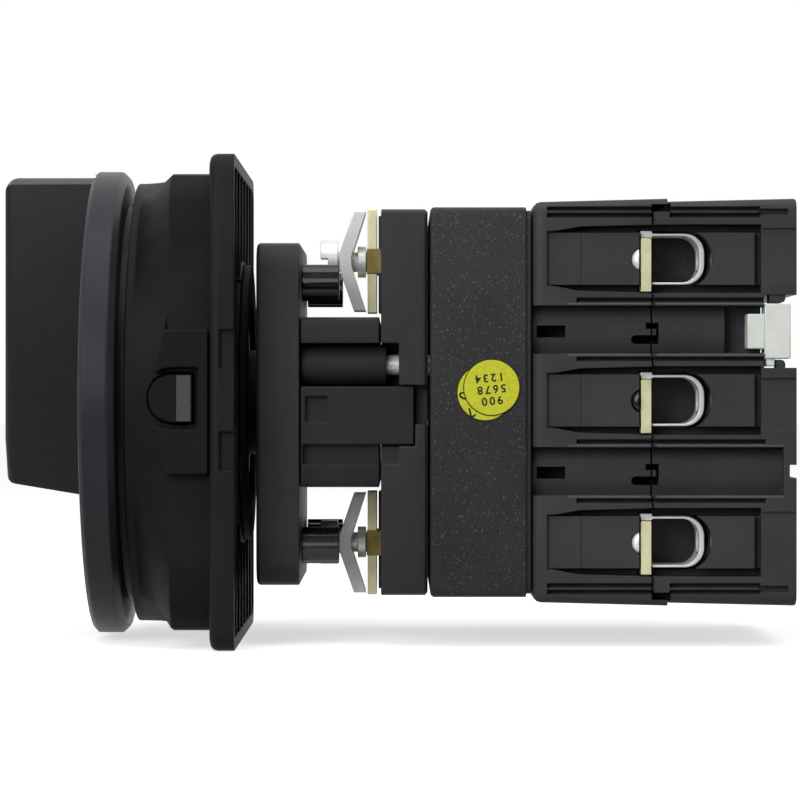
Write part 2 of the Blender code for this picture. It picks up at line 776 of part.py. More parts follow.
def panel_seal():
    """The rubber ring between the front plate and the panel."""
    front = SEAT
    profile = [
        (front, SEAL_BORE),
        (front, SEAL_RADIUS),
        (front + SEAL_THICK, SEAL_RADIUS),
        (front + SEAL_THICK, SEAL_BORE),
    ]
    return turned("panel_seal", profile, "rubber", segments=36)


# Behind the panel


def mounting_flange():
    """The block that the panel screws pull home, with the sleeve that reaches the front plate."""
    low = -FLANGE_HALF - FLANGE_DROP
    high = FLANGE_HALF - FLANGE_DROP
    bm = rounded_box(
        (PANEL_SPACE, -FLANGE_HALF_DEPTH, low), (FLANGE_REAR, FLANGE_HALF_DEPTH, high), FLANGE_CORNER, "x"
    )
    soften(bm, BODY_EDGE, rim_at("x", PANEL_SPACE))
    flange = piece("mounting_flange", bm, "body_plastic")
    front = -PLATE_POCKET
    add(flange, "sleeve", rod("x", front, PANEL_SPACE + THROUGH, (0, 0), SLEEVE_RADIUS))
    cut(flange, "shaft_bore", rod("x", front - THROUGH, FLANGE_REAR + THROUGH, (0, 0), SHAFT_BORE))
    screws = [
        rod("x", PANEL_SPACE - THROUGH, FLANGE_REAR + THROUGH, (y, z), PLATE_HOLE, segments=12)
        for _, _, y, z in fixing_places()
    ]
    cut(flange, "screw_holes", gather(screws))
    return flange


def screw_cap(side, level, y, z):
    """A fluted cap nut that takes one panel screw."""
    steps = CAP_FLUTES * 4
    outline = []
    for step in range(steps):
        radius = CAP_RADIUS if step % 4 < 2 else CAP_RADIUS - CAP_FLUTE_DEPTH
        angle = math.tau * step / steps
        outline.append((y + radius * math.cos(angle), z + radius * math.sin(angle)))
    front = FLANGE_REAR + SEAT
    cap = piece(f"screw_cap_{level}_{side}", prism(outline, front, front + CAP_LENGTH), "gloss_black")
    cut(cap, "screw_hole", rod("x", front - THROUGH, front + CAP_HOLE_DEPTH, (y, z), CAP_HOLE, segments=12))
    return cap


def neck_frame():
    """The open neck behind the flange, with a channel for each tie screw and a tongue that keys the body."""
    bm = rounded_box(
        (NECK_FRONT, -NECK_HALF_DEPTH, -NECK_TOP),
        (NECK_REAR, NECK_HALF_DEPTH, NECK_TOP),
        BODY_CORNER,
        "x",
        segments=2,
    )
    neck = piece("neck_frame", bm, "body_plastic")
    middle = (CHANNEL_TOP + CHANNEL_FOOT) / 2
    for side, sign in SIDES.items():
        outer = sign * (NECK_HALF_DEPTH + THROUGH)
        floor = sign * (NECK_HALF_DEPTH - CHANNEL_DEEP)
        face = sorted((outer, floor))
        channel = box(
            (NECK_FRONT - THROUGH, face[0], CHANNEL_FOOT), (NECK_REAR + THROUGH, face[1], CHANNEL_TOP)
        )
        cut(neck, f"channel_{side}", channel)
        panel = sorted((outer, sign * (NECK_HALF_DEPTH - PANEL_DEEP)))
        recess = box((NECK_FRONT + SEAT, panel[0], PANEL_FOOT), (NECK_REAR + THROUGH, panel[1], TONGUE_FOOT))
        cut(neck, f"panel_{side}", recess)
        centre = (sign * TIE_DEPTH, middle)
        add(
            neck,
            f"sleeve_{side}",
            rod("x", NECK_FRONT, NECK_REAR + SLEEVE_REACH, centre, TIE_SLEEVE_RADIUS, segments=24),
        )
        tongue = sorted((sign * NECK_HALF_DEPTH, sign * (NECK_HALF_DEPTH - TONGUE_DEEP)))
        shape = box(
            (NECK_REAR - THROUGH, tongue[0], TONGUE_FOOT),
            (DETENT_FRONT + TONGUE_REACH, tongue[1], CHANNEL_FOOT),
        )
        add(neck, f"tongue_{side}", shape)
        window = sorted((outer, sign * (NECK_HALF_DEPTH - WINDOW_DEEP)))
        first = NECK_FRONT + WINDOW_FRONT
        shape = box(
            (first, window[0], WINDOW_MIDDLE - WINDOW_HALF),
            (first + WINDOW_LENGTH, window[1], WINDOW_MIDDLE + WINDOW_HALF),
        )
        cut(neck, f"window_{side}", shape)
    cut(neck, "bore", rod("x", NECK_FRONT - THROUGH, NECK_REAR + THROUGH, (0, 0), NECK_BORE))
    ties = [
        rod(
            "x",
            NECK_FRONT - THROUGH,
            NECK_REAR + 2 * THROUGH,
            (sign * TIE_DEPTH, middle),
            TIE_RADIUS + SEAT,
            segments=16,
        )
        for sign in SIDES.values()
    ]
    cut(neck, "tie_holes", gather(ties))
    return neck


def tie_screw(side):
    """The long screw that holds neck, detent housing and cam housing together."""
    middle = (CHANNEL_TOP + CHANNEL_FOOT) / 2
    bm = rod(
        "x",
        NECK_FRONT + SEAT,
        CAM_FRONT + TIE_END,
        (SIDES[side] * TIE_DEPTH, middle),
        TIE_RADIUS,
        segments=16,
    )
    return piece(f"tie_screw_{side}", bm, "zinc")


def tie_holes(end):
    middle = (CHANNEL_TOP + CHANNEL_FOOT) / 2
    return gather(
        [
            rod("x", DETENT_FRONT - THROUGH, end, (sign * TIE_DEPTH, middle), TIE_RADIUS + SEAT, segments=16)
            for sign in SIDES.values()
        ]
    )


def detent_housing():
    """Holds the notched wheel and its plunger, and carries the saddle terminals in front."""
    bm = rounded_box(
        (DETENT_FRONT, -DETENT_HALF_DEPTH, -DETENT_HALF),
        (DETENT_REAR, DETENT_HALF_DEPTH, DETENT_HALF),
        BODY_CORNER,
        "x",
        segments=2,
    )
    soften(bm, BODY_EDGE, rim_at("x", DETENT_REAR), segments=1)
    housing = piece("detent_housing", bm, "body_plastic")
    for level, lift in (("upper", 1), ("lower", -1)):
        middle = lift * SADDLE_LIFT
        reach = SADDLE_BAR_LENGTH / 2
        pad = box(
            (DETENT_FRONT - SADDLE_PAD, -SADDLE_BAR_HALF, max(middle - reach, -DETENT_HALF)),
            (DETENT_FRONT + THROUGH, SADDLE_BAR_HALF, min(middle + reach, DETENT_HALF)),
        )
        add(housing, f"pad_{level}", pad)
        nut = rod(
            "x",
            DETENT_FRONT - THROUGH,
            SADDLE_NUT_REAR + SEAT,
            (0, middle),
            SADDLE_NUT_RADIUS + SEAT,
            segments=16,
        )
        cut(housing, f"nut_seat_{level}", nut)
    wheel_rear = DETENT_FRONT + WHEEL_FRONT + WHEEL_THICK
    well = rod("x", DETENT_FRONT - THROUGH, wheel_rear + RUN, (0, 0), WHEEL_RADIUS + 2 * RUN, segments=36)
    cut(housing, "wheel_well", well)
    cut(housing, "shaft_bore", rod("x", wheel_rear - THROUGH, DETENT_REAR + THROUGH, (0, 0), SHAFT_BORE))
    for side, sign in SIDES.items():
        outer = sign * (DETENT_HALF_DEPTH + THROUGH)
        channel = sorted((outer, sign * (TIE_DEPTH - TIE_SLEEVE_RADIUS - SEAT)))
        tongue = sorted((outer, sign * (NECK_HALF_DEPTH - TONGUE_DEEP - SEAT)))
        panel = sorted((outer, sign * (NECK_HALF_DEPTH - PANEL_DEEP)))
        notch = sorted((outer, sign * (NECK_HALF_DEPTH - NOTCH_DEEP)))
        end = DETENT_FRONT + TONGUE_REACH + SEAT
        cut(
            housing,
            f"channel_{side}",
            box(
                (DETENT_FRONT - THROUGH, channel[0], CHANNEL_FOOT),
                (DETENT_FRONT + CHANNEL_REACH, channel[1], CHANNEL_TOP),
            ),
        )
        cut(
            housing,
            f"tongue_seat_{side}",
            box(
                (DETENT_FRONT - THROUGH, tongue[0], TONGUE_FOOT - SEAT), (end, tongue[1], CHANNEL_FOOT + SEAT)
            ),
        )
        cut(
            housing,
            f"panel_{side}",
            box(
                (DETENT_FRONT - THROUGH, panel[0], PANEL_FOOT),
                (DETENT_FRONT + CHANNEL_REACH, panel[1], TONGUE_FOOT),
            ),
        )
        cut(
            housing,
            f"notch_{side}",
            box(
                (end - SEAT, notch[0], NOTCH_MIDDLE - NOTCH_HALF),
                (DETENT_REAR + THROUGH, notch[1], NOTCH_MIDDLE + NOTCH_HALF),
            ),
        )
    bore_foot = -(plunger_top() + PLUNGER_LENGTH + DETENT_SPRING_LENGTH + 2 * SEAT)
    bore = rod(
        "z", bore_foot, -WHEEL_RADIUS + THROUGH, (wheel_middle(), 0), PLUNGER_RADIUS + RUN, segments=16
    )
    cut(housing, "plunger_bore", bore)
    cut(housing, "tie_holes", tie_holes(DETENT_REAR + THROUGH))
    return housing


def wheel_middle():
    return DETENT_FRONT + WHEEL_FRONT + WHEEL_THICK / 2


def plunger_top():
    """How far below the shaft the plunger stands, clear of the wheel's lobes."""
    return WHEEL_RADIUS + RUN


def detent_wheel():
    """Four notches that hold the handle at each quarter turn."""
    steps = 40
    outline = []
    for step in range(steps):
        angle = math.tau * step / steps
        radius = WHEEL_RADIUS - WHEEL_NOTCH * (0.5 + 0.5 * math.cos(WHEEL_NOTCHES * angle))
        outline.append((radius * math.cos(angle), radius * math.sin(angle)))
    front = DETENT_FRONT + WHEEL_FRONT
    wheel = piece("detent_wheel", prism(outline, front, front + WHEEL_THICK), "nylon")
    cut(wheel, "bore", square_bar(front - THROUGH, front + WHEEL_THICK + THROUGH, SHAFT_SIDE + 2 * SEAT))
    return wheel


def detent_plunger():
    top = -plunger_top()
    shoulder = top - PLUNGER_POINT
    bm = rod("z", top - PLUNGER_LENGTH, shoulder, (wheel_middle(), 0), PLUNGER_RADIUS, segments=16)
    plunger = piece("detent_plunger", bm, "steel")
    point = rod(
        "z", shoulder - SEAT, top, (wheel_middle(), 0), PLUNGER_RADIUS - SEAT, PLUNGER_TIP, segments=16
    )
    add(plunger, "point", point)
    return plunger


def detent_spring():
    top = -plunger_top() - PLUNGER_LENGTH - SEAT
    return coil(
        "detent_spring",
        "z",
        top - DETENT_SPRING_LENGTH,
        top,
        (wheel_middle(), 0),
        DETENT_SPRING_RADIUS,
        5,
        "steel",
    )


def drive_shaft():
    """The square shaft from the handle's hub to the face cam."""
    front = DISC_REAR + SEAT
    bm = square_bar(front, cam_top() + SHAFT_OVERHANG - STROKE, SHAFT_SIDE)
    shaft = piece("drive_shaft", bm, "steel")
    end = DISC_FRONT - SLIDE_FLOOR + HANDLE_SCREW_LENGTH + THROUGH
    cut(shaft, "screw_hole", rod("x", front - THROUGH, end, (0, 0), HANDLE_SCREW_RADIUS + SEAT, segments=16))
    return shaft


# Cam housing and face cam


def cam_low():
    """Where the cam's track is lowest, towards the handle."""
    return CAM_FRONT + CAM_WALL + 2 * RUN + CAM_WEB


def cam_top():
    return cam_low() + STROKE


def cam_housing():
    """The deep housing round the face cam, with a lip that locates the contact block."""
    bm = rounded_box(
        (CAM_FRONT, -BLOCK_HALF_DEPTH, -CAM_HALF),
        (CAM_REAR, BLOCK_HALF_DEPTH, CAM_HALF),
        BODY_CORNER,
        "x",
        segments=2,
    )
    soften(bm, BODY_EDGE, rim_at("x", CAM_FRONT), segments=1)
    housing = piece("cam_housing", bm, "body_plastic")
    inner = BLOCK_HALF_DEPTH - CAM_LIP_INSET
    upper = CAM_HALF - CAM_LIP_INSET
    lip = rounded_box(
        (CAM_REAR - THROUGH, -inner, -upper), (CAM_REAR + CAM_LIP, inner, upper), BODY_CORNER, "x", segments=2
    )
    add(housing, "lip", lip)
    well = rod("x", CAM_FRONT + CAM_WALL, CAM_REAR + 2 * THROUGH, (0, 0), CAM_WELL_RADIUS, segments=36)
    cut(housing, "cam_well", well)
    cut(
        housing,
        "shaft_bore",
        rod("x", CAM_FRONT - THROUGH, CAM_FRONT + CAM_WALL + THROUGH, (0, 0), SHAFT_BORE),
    )
    cut(housing, "tie_holes", tie_holes(CAM_FRONT + TIE_END + SEAT))
    return housing


def cam_lift(angle):
    """Height of the cam's track: two ramps of a quarter turn, each with a flat and a way down."""
    ahead = (math.degrees(FOLLOWER_ANGLE - angle) + CAM_DWELL) % 180 - CAM_DWELL
    ramp = math.degrees(TURN)
    if ahead <= 0:
        return 0
    if ahead <= ramp:
        return STROKE * ahead / ramp
    fall = 180 - ramp - 2 * CAM_DWELL
    return STROKE * min(1, max(0, (180 - CAM_DWELL - ahead) / fall))


def face_cam():
    """The cam that pushes the contact carrier as the shaft turns."""
    front = CAM_FRONT + CAM_WALL + 2 * RUN
    low = cam_low()
    bore = SHAFT_SIDE / 4
    section = [
        (front, bore), (front, CAM_RADIUS), (low, CAM_RADIUS), (low, CAM_TRACK_INNER), (low - RUN, bore)
    ]
    bm = bmesh.new()
    bm.faces.new([bm.verts.new((x, radius, 0)) for x, radius in section])
    rim = [edge for edge in bm.edges]
    bmesh.ops.delete(bm, geom=list(bm.faces), context="FACES_ONLY")
    bmesh.ops.spin(
        bm,
        geom=list(bm.verts) + rim,
        cent=(0, 0, 0),
        axis=X_AXIS,
        angle=math.tau,
        steps=CAM_STEPS,
        use_merge=True,
    )
    bmesh.ops.remove_doubles(bm, verts=bm.verts, dist=1e-7)
    for vert in bm.verts:
        radius = math.hypot(vert.co.y, vert.co.z)
        if vert.co.x > low - RUN / 2 and radius > CAM_TRACK_INNER - RUN:
            vert.co.x += cam_lift(math.atan2(vert.co.z, vert.co.y))
    bmesh.ops.triangulate(bm, faces=bm.faces)
    cam = piece("face_cam", bm, "nylon")
    cut(cam, "bore", square_bar(front - THROUGH, low + THROUGH, SHAFT_SIDE + 2 * SEAT))
    return cam


# Contact block


def wall_groove(height, half, deep, slope, start, end):
    """A groove along X in both side walls, wider at its mouth by the slope on each edge."""
    spread = slope * (1 + THROUGH / deep)
    grooves = []
    for sign in SIDES.values():
        floor = sign * (BLOCK_HALF_DEPTH - deep)
        mouth = sign * (BLOCK_HALF_DEPTH + THROUGH)
        outline = [
            (mouth, height - half - spread),
            (floor, height - half),
            (floor, height + half),
            (mouth, height + half + spread),
        ]
        grooves.append(prism(outline, start, end))
    return gather(grooves)


def bar_slots():
    """Slots in the base's side walls for the terminal bars and their straps."""
    slots = []
    for height in POLE_HEIGHTS:
        low = height - BAR_DROP - BAR_HEIGHT / 2 - SEAT
        high = height + STRAP_HALF + SEAT
        for sign in SIDES.values():
            wall = sorted((sign * (BLOCK_HALF_DEPTH + THROUGH), sign * (CARRIER_WELL_HALF_DEPTH - THROUGH)))
            slots.append(box((BAR_FRONT - SEAT, wall[0], low), (BASE_REAR + THROUGH, wall[1], high)))
    return gather(slots)


def rail_slots(start, end):
    """The long thin slots in the rails at the top and bottom of both side walls."""
    slots = []
    for lift in (1, -1):
        middle = lift * (BLOCK_HALF - RAIL_SLOT_INSET)
        for sign in SIDES.values():
            wall = sorted((sign * (BLOCK_HALF_DEPTH + THROUGH), sign * (BLOCK_HALF_DEPTH - RAIL_SLOT_DEEP)))
            slots.append(
                box((start, wall[0], middle - RAIL_SLOT_HALF), (end, wall[1], middle + RAIL_SLOT_HALF))
            )
    return gather(slots)


def contact_base():
    """The front half of the contact block: three bays and two lanes on each side, and the carrier's well."""
    bm = rounded_box(
        (BASE_FRONT, -BLOCK_HALF_DEPTH, -BLOCK_HALF),
        (BASE_REAR, BLOCK_HALF_DEPTH, BLOCK_HALF),
        BLOCK_CORNER,
        "x",
        segments=2,
    )
    soften(bm, BODY_EDGE, rim_at("x", BASE_FRONT), segments=1)
    base = piece("contact_base", bm, "body_plastic")
    for lift in (1, -1):
        edges = sorted((lift * BLOCK_HALF, lift * (BLOCK_HALF - LIP_DEEP)))
        reach = BLOCK_HALF_DEPTH - BLOCK_CORNER
        add(
            base,
            f"lip_{edges[0] > 0}",
            box((BASE_REAR - THROUGH, -reach, edges[0]), (BASE_REAR + LIP_LENGTH, reach, edges[1])),
        )
    first = BASE_FRONT + BAY_FRONT_WALL
    bays = [
        wall_groove(height, BAY_HALF, BAY_DEEP, BAY_SLOPE, first, BASE_REAR + THROUGH)
        for height in POLE_HEIGHTS
    ]
    cut(base, "bays", gather(bays))
    lanes = [
        wall_groove(height, LANE_HALF, LANE_DEEP, 0, first, BASE_REAR + THROUGH) for height in LANE_HEIGHTS
    ]
    cut(base, "lanes", gather(lanes))
    cut(base, "rail_slots", rail_slots(first, BASE_REAR - THROUGH))
    well = box(
        (BASE_FRONT + CARRIER_WELL_WALL, -CARRIER_WELL_HALF_DEPTH, -CARRIER_WELL_HALF),
        (BASE_REAR + 2 * THROUGH, CARRIER_WELL_HALF_DEPTH, CARRIER_WELL_HALF),
    )
    cut(base, "carrier_well", well)
    cut(base, "bar_slots", bar_slots())
    followers = [
        rod(
            "x",
            BASE_FRONT - THROUGH,
            BASE_FRONT + CARRIER_WELL_WALL + THROUGH,
            (0, z),
            FOLLOWER_RADIUS + RUN,
            segments=16,
        )
        for z in (FOLLOWER_ARM, -FOLLOWER_ARM)
    ]
    cut(base, "follower_holes", gather(followers))
    return base


def contact_cover():
    """The rear half of the contact block, with a mouth for each cable and a bore for each clamp screw."""
    bm = rounded_box(
        (COVER_FRONT, -BLOCK_HALF_DEPTH, -BLOCK_HALF),
        (COVER_REAR, BLOCK_HALF_DEPTH, BLOCK_HALF),
        BLOCK_CORNER,
        "x",
        segments=2,
    )
    for vert in bm.verts:
        if vert.co.x > COVER_REAR - THROUGH:
            vert.co.z *= 1 + COVER_DRAFT / BLOCK_HALF
    soften(bm, BODY_EDGE, rim_at("x", COVER_REAR), segments=1)
    cover = piece("contact_cover", bm, "body_plastic")
    lips = []
    for lift in (1, -1):
        edges = sorted((lift * (BLOCK_HALF + THROUGH), lift * (BLOCK_HALF - LIP_DEEP - SEAT)))
        reach = BLOCK_HALF_DEPTH + THROUGH
        lips.append(
            box((COVER_FRONT - THROUGH, -reach, edges[0]), (BASE_REAR + LIP_LENGTH + SEAT, reach, edges[1]))
        )
    cut(cover, "lip_seats", gather(lips))
    front = COVER_FRONT - THROUGH
    bays = [
        wall_groove(height, BAY_HALF, BAY_DEEP, BAY_SLOPE, front, COVER_REAR - BAY_REAR_WALL)
        for height in POLE_HEIGHTS
    ]
    cut(cover, "bays", gather(bays))
    ends = [
        wall_groove(
            height, BAY_HALF, BAY_END_DEEP, 0, COVER_REAR - BAY_REAR_WALL - THROUGH, COVER_REAR + THROUGH
        )
        for height in POLE_HEIGHTS
    ]
    cut(cover, "bay_ends", gather(ends))
    upper, lower = LANE_HEIGHTS
    lanes = [
        wall_groove(upper, LANE_HALF, LANE_DEEP, 0, front, COVER_REAR + THROUGH),
        wall_groove(lower, LANE_HALF, LANE_DEEP, 0, front, COVER_REAR - LANE_REAR_WALL),
    ]
    cut(cover, "lanes", gather(lanes))
    cut(cover, "rail_slots", rail_slots(COVER_FRONT + THROUGH, COVER_REAR - THROUGH))
    mouths = []
    bores = []
    for height in POLE_HEIGHTS:
        turn = COVER_FRONT + MOUTH_LENGTH - MOUTH_HALF
        outline = [(front, height + MOUTH_HALF), (front, height - MOUTH_HALF)]
        outline += arc((turn, height), MOUTH_HALF, -90, 90, 12)
        for sign in SIDES.values():
            outer = sign * (BLOCK_HALF_DEPTH + THROUGH)
            mouths.append(side_prism(outline, outer, sign * (BLOCK_HALF_DEPTH - MOUTH_DEEP)))
            start = COVER_FRONT + MOUTH_LENGTH - THROUGH
            place = (sign * CLAMP_DEPTH, height)
            bores.append(rod("x", start, COVER_REAR + THROUGH, place, CLAMP_HEAD_RADIUS + RUN, segments=16))
    cut(cover, "mouths", gather(mouths))
    cut(cover, "screw_bores", gather(bores))
    well = rod("x", front, return_spring_end() + SEAT, (0, POLE_HEIGHTS[1]), RETURN_WELL_RADIUS, segments=24)
    cut(cover, "spring_well", well)
    return cover


def terminal_bar(pole, side):
    """The brass bar that leads from a box terminal to its fixed contact."""
    height = POLE_HEIGHTS[pole]
    sign = SIDES[side]
    reach = sorted((sign * (BLOCK_HALF_DEPTH - BAR_INSET), sign * BAR_INNER))
    low = height - BAR_DROP - BAR_HEIGHT / 2
    bm = box((BAR_FRONT, reach[0], low), (BAR_REAR, reach[1], low + BAR_HEIGHT))
    bar = piece(f"terminal_bar_{pole + 1}_{side}", bm, "brass")
    tip = rod(
        "x", BAR_FRONT - TIP_RISE, BAR_FRONT + SEAT, (sign * tip_place(), height), TIP_RADIUS, segments=16
    )
    add(bar, "tip", tip)
    return bar


def clamp_strap(pole, side):
    """The bent strap of a box terminal, which pulls the cable against the bar."""
    height = POLE_HEIGHTS[pole]
    end = BAR_FRONT + STRAP_LENGTH
    turn = end - STRAP_ROUND
    inner = STRAP_ROUND - STRAP_THICK
    hook = STRAP_HALF - STRAP_ROUND
    lower_start = BAR_REAR + SEAT
    outline = [(BAR_FRONT, height + STRAP_HALF - STRAP_THICK)]
    outline += [(BAR_FRONT, height + STRAP_HALF)]
    outline += arc((turn, height + hook), STRAP_ROUND, 90, 0, 5)
    outline += arc((turn, height - hook), STRAP_ROUND, 0, -90, 5)
    outline += [(lower_start, height - STRAP_HALF), (lower_start, height - STRAP_HALF + STRAP_THICK)]
    outline += arc((turn, height - hook), inner, -90, 0, 5)
    outline += arc((turn, height + hook), inner, 0, 90, 5)
    middle = SIDES[side] * CLAMP_DEPTH
    shape = side_prism(outline, middle - STRAP_WIDTH / 2, middle + STRAP_WIDTH / 2)
    strap = piece(f"clamp_strap_{pole + 1}_{side}", shape, "zinc")
    hole = rod("x", turn, end + THROUGH, (middle, height), CLAMP_SCREW_RADIUS + RUN, segments=16)
    cut(strap, "screw_hole", hole)
    return strap


def clamp_screw(pole, side):
    """The screw of a box terminal, backed out to let a cable in and reached from the rear."""
    place = (SIDES[side] * CLAMP_DEPTH, POLE_HEIGHTS[pole])
    tip = BAR_FRONT + STRAP_LENGTH - STRAP_THICK
    head = tip + CLAMP_SCREW_LENGTH
    bm = rod("x", head, head + CLAMP_HEAD_THICK, place, CLAMP_HEAD_RADIUS, segments=16)
    screw = piece(f"clamp_screw_{pole + 1}_{side}", bm, "zinc")
    add(screw, "shank", rod("x", tip, head + SEAT, place, CLAMP_SCREW_RADIUS, segments=16))
    half = SCREW_SLOT / 2
    end = head + CLAMP_HEAD_THICK
    reach = CLAMP_HEAD_RADIUS + THROUGH
    slot = box(
        (end - SLOT_DEEP, place[0] - reach, place[1] - half),
        (end + THROUGH, place[0] + reach, place[1] + half),
    )
    cut(screw, "slot", slot)
    return screw


# Moving contacts


def tip_place():
    """How far from the shaft plane each bridge's contact tips stand."""
    return BRIDGE_REACH - TIP_RADIUS


def bridge_rear():
    """The bridges' rear face at rest, one stroke and the running gap short of the fixed tips."""
    return BAR_FRONT - 2 * TIP_RISE - STROKE - RUN


def carrier_front():
    return BASE_FRONT + CARRIER_WELL_WALL + RUN


def contact_carrier():
    """The moulded slide that carries the three bridges, with two followers that ride on the face cam."""
    front = carrier_front()
    rear = front + CARRIER_BAR
    low = POLE_HEIGHTS[-1] - CARRIER_MARGIN
    high = POLE_HEIGHTS[0] + CARRIER_MARGIN
    bm = box((front, -CARRIER_HALF_DEPTH, low), (rear, CARRIER_HALF_DEPTH, high))
    carrier = piece("contact_carrier", bm, "nylon")
    window_end = bridge_rear() + RUN
    stirrups = [
        box(
            (rear - SEAT, -STIRRUP_HALF, height - STIRRUP_HALF),
            (window_end + STIRRUP_CAP, STIRRUP_HALF, height + STIRRUP_HALF),
        )
        for height in POLE_HEIGHTS
    ]
    add(carrier, "stirrups", gather(stirrups))
    reach = STIRRUP_HALF + THROUGH
    half = BRIDGE_HALF + RUN
    windows = [
        box((rear, -reach, height - half), (window_end, reach, height + half)) for height in POLE_HEIGHTS
    ]
    cut(carrier, "windows", gather(windows))
    half_angle = math.asin(FOLLOWER_RADIUS / FOLLOWER_ARM)
    tip = cam_low() + STROKE * half_angle / TURN + RUN
    followers = [
        rod("x", tip, front + SEAT, (0, z), FOLLOWER_RADIUS, segments=16) for z in (
            FOLLOWER_ARM, -FOLLOWER_ARM
        )
    ]
    add(carrier, "followers", gather(followers))
    return carrier


def contact_bridge(pole):
    """The moving contact that joins the two fixed contacts of a pole."""
    height = POLE_HEIGHTS[pole]
    rear = bridge_rear()
    bm = box(
        (rear - BRIDGE_THICK, -BRIDGE_REACH, height - BRIDGE_HALF), (rear, BRIDGE_REACH, height + BRIDGE_HALF)
    )
    bridge = piece(f"contact_bridge_{pole + 1}", bm, "brass")
    tips = [
        rod("x", rear - SEAT, rear + TIP_RISE, (sign * tip_place(), height), TIP_RADIUS, segments=16)
        for sign in SIDES.values()
    ]
    add(bridge, "tips", gather(tips))
    return bridge


def contact_spring(pole):
    """Presses a bridge against the end of its window."""
    start = carrier_front() + CARRIER_BAR + SEAT
    end = bridge_rear() - BRIDGE_THICK - SEAT
    return coil(
        f"contact_spring_{pole + 1}",
        "x",
        start,
        end,
        (0, POLE_HEIGHTS[pole]),
        CONTACT_SPRING_RADIUS,
        2,
        "steel",
    )


def return_spring_start():
    return bridge_rear() + RUN + STIRRUP_CAP + SEAT


def return_spring_end():
    return return_spring_start() + RETURN_SPRING_LENGTH


def return_spring():
    """Pushes the carrier back against the cam."""
    place = (0, POLE_HEIGHTS[1])
    return coil(
        "return_spring",
        "x",
        return_spring_start(),
        return_spring_end(),
        place,
        RETURN_SPRING_RADIUS,
        6,
        "steel",
    )


# Saddle terminals


def saddle_bar(level, lift):
    """The brass bar of a saddle terminal, with the threaded collar that takes its screw."""
    middle = lift * SADDLE_LIFT
    front = saddle_bar_front()
    half = SADDLE_BAR_LENGTH / 2
    bm = box(
        (front, -SADDLE_BAR_HALF, middle - half), (front + SADDLE_BAR_THICK, SADDLE_BAR_HALF, middle + half)
    )
    bar = piece(f"saddle_bar_{level}", bm, "brass")
    collar = rod("x", front + SEAT, SADDLE_NUT_REAR, (0, middle), SADDLE_NUT_RADIUS, segments=16)
    add(bar, "collar", collar)
    hole = rod(
        "x", front - THROUGH, SADDLE_NUT_REAR + THROUGH, (0, middle), SADDLE_SCREW_RADIUS + RUN, segments=16
    )
    cut(bar, "screw_hole", hole)
    return bar


def saddle_bar_front():
    return DETENT_FRONT - SADDLE_PAD - SEAT - SADDLE_BAR_THICK


def saddle_clamp(level, lift):
    """The bent clamp plate of a saddle terminal, which stands on its two ends."""
    middle = lift * SADDLE_LIFT
    end = saddle_bar_front() - SEAT
    apex = saddle_bar_front() - SADDLE_RISE
    half = SADDLE_CLAMP_LENGTH / 2
    flat = SADDLE_APEX_HALF
    outline = [
        (apex, middle - flat),
        (apex, middle + flat),
        (end - SADDLE_CLAMP_THICK, middle + half),
        (end, middle + half),
        (apex + SADDLE_CLAMP_THICK, middle + flat * 0.5),
        (apex + SADDLE_CLAMP_THICK, middle - flat * 0.5),
        (end, middle - half),
        (end - SADDLE_CLAMP_THICK, middle - half),
    ]
    clamp = piece(f"saddle_clamp_{level}", side_prism(outline, -SADDLE_BAR_HALF, SADDLE_BAR_HALF), "zinc")
    hole = rod(
        "x",
        apex - THROUGH,
        apex + SADDLE_CLAMP_THICK + THROUGH,
        (0, middle),
        SADDLE_SCREW_RADIUS + SEAT,
        segments=16,
    )
    cut(clamp, "screw_hole", hole)
    return clamp


def saddle_screw(level, lift):
    """The slotted screw of a saddle terminal, with its spring washer behind the clamp plate."""
    middle = (0, lift * SADDLE_LIFT)
    rear = saddle_bar_front() - SADDLE_RISE - SEAT
    front = rear - SADDLE_HEAD_THICK
    bm = rod("x", front, rear, middle, SADDLE_HEAD_RADIUS, segments=28)
    screw = piece(f"saddle_screw_{level}", bm, "zinc")
    add(
        screw,
        "shank",
        rod("x", rear - SEAT, SADDLE_NUT_REAR - SEAT, middle, SADDLE_SCREW_RADIUS, segments=16),
    )
    washer_end = saddle_bar_front() - SEAT
    apex_rear = rear + SEAT + SADDLE_CLAMP_THICK
    lean = (washer_end - apex_rear) / (SADDLE_CLAMP_LENGTH / 2)
    washer_start = apex_rear + lean * SADDLE_WASHER_RADIUS + SEAT
    washer = rod("x", washer_start, washer_end, middle, SADDLE_WASHER_RADIUS, segments=16)
    add(screw, "washer", washer)
    half = SCREW_SLOT / 2
    reach = SADDLE_HEAD_RADIUS + THROUGH
    slot = box((front - THROUGH, -reach, middle[1] - half), (front + SLOT_DEEP, reach, middle[1] + half))
    cut(screw, "slot", slot)
    return screw


def end_plug():
    """The pale plug that closes the upper lane on the near side."""
    height = LANE_HEIGHTS[0]
    outer = -BLOCK_HALF_DEPTH + SEAT
    inner = -BLOCK_HALF_DEPTH + LANE_DEEP - SEAT
    end = COVER_REAR - PLUG_INSET
    front = end - PLUG_LENGTH + PLUG_NECK
    bm = box((front, outer, height - PLUG_HALF), (end, inner, height + PLUG_HALF))
    plug = piece("end_plug", bm, "nylon")
    neck = box(
        (front - PLUG_NECK, outer + SEAT, height - PLUG_NECK_HALF),
        (front + SEAT, inner, height + PLUG_NECK_HALF),
    )
    add(plug, "neck", neck)
    return plug


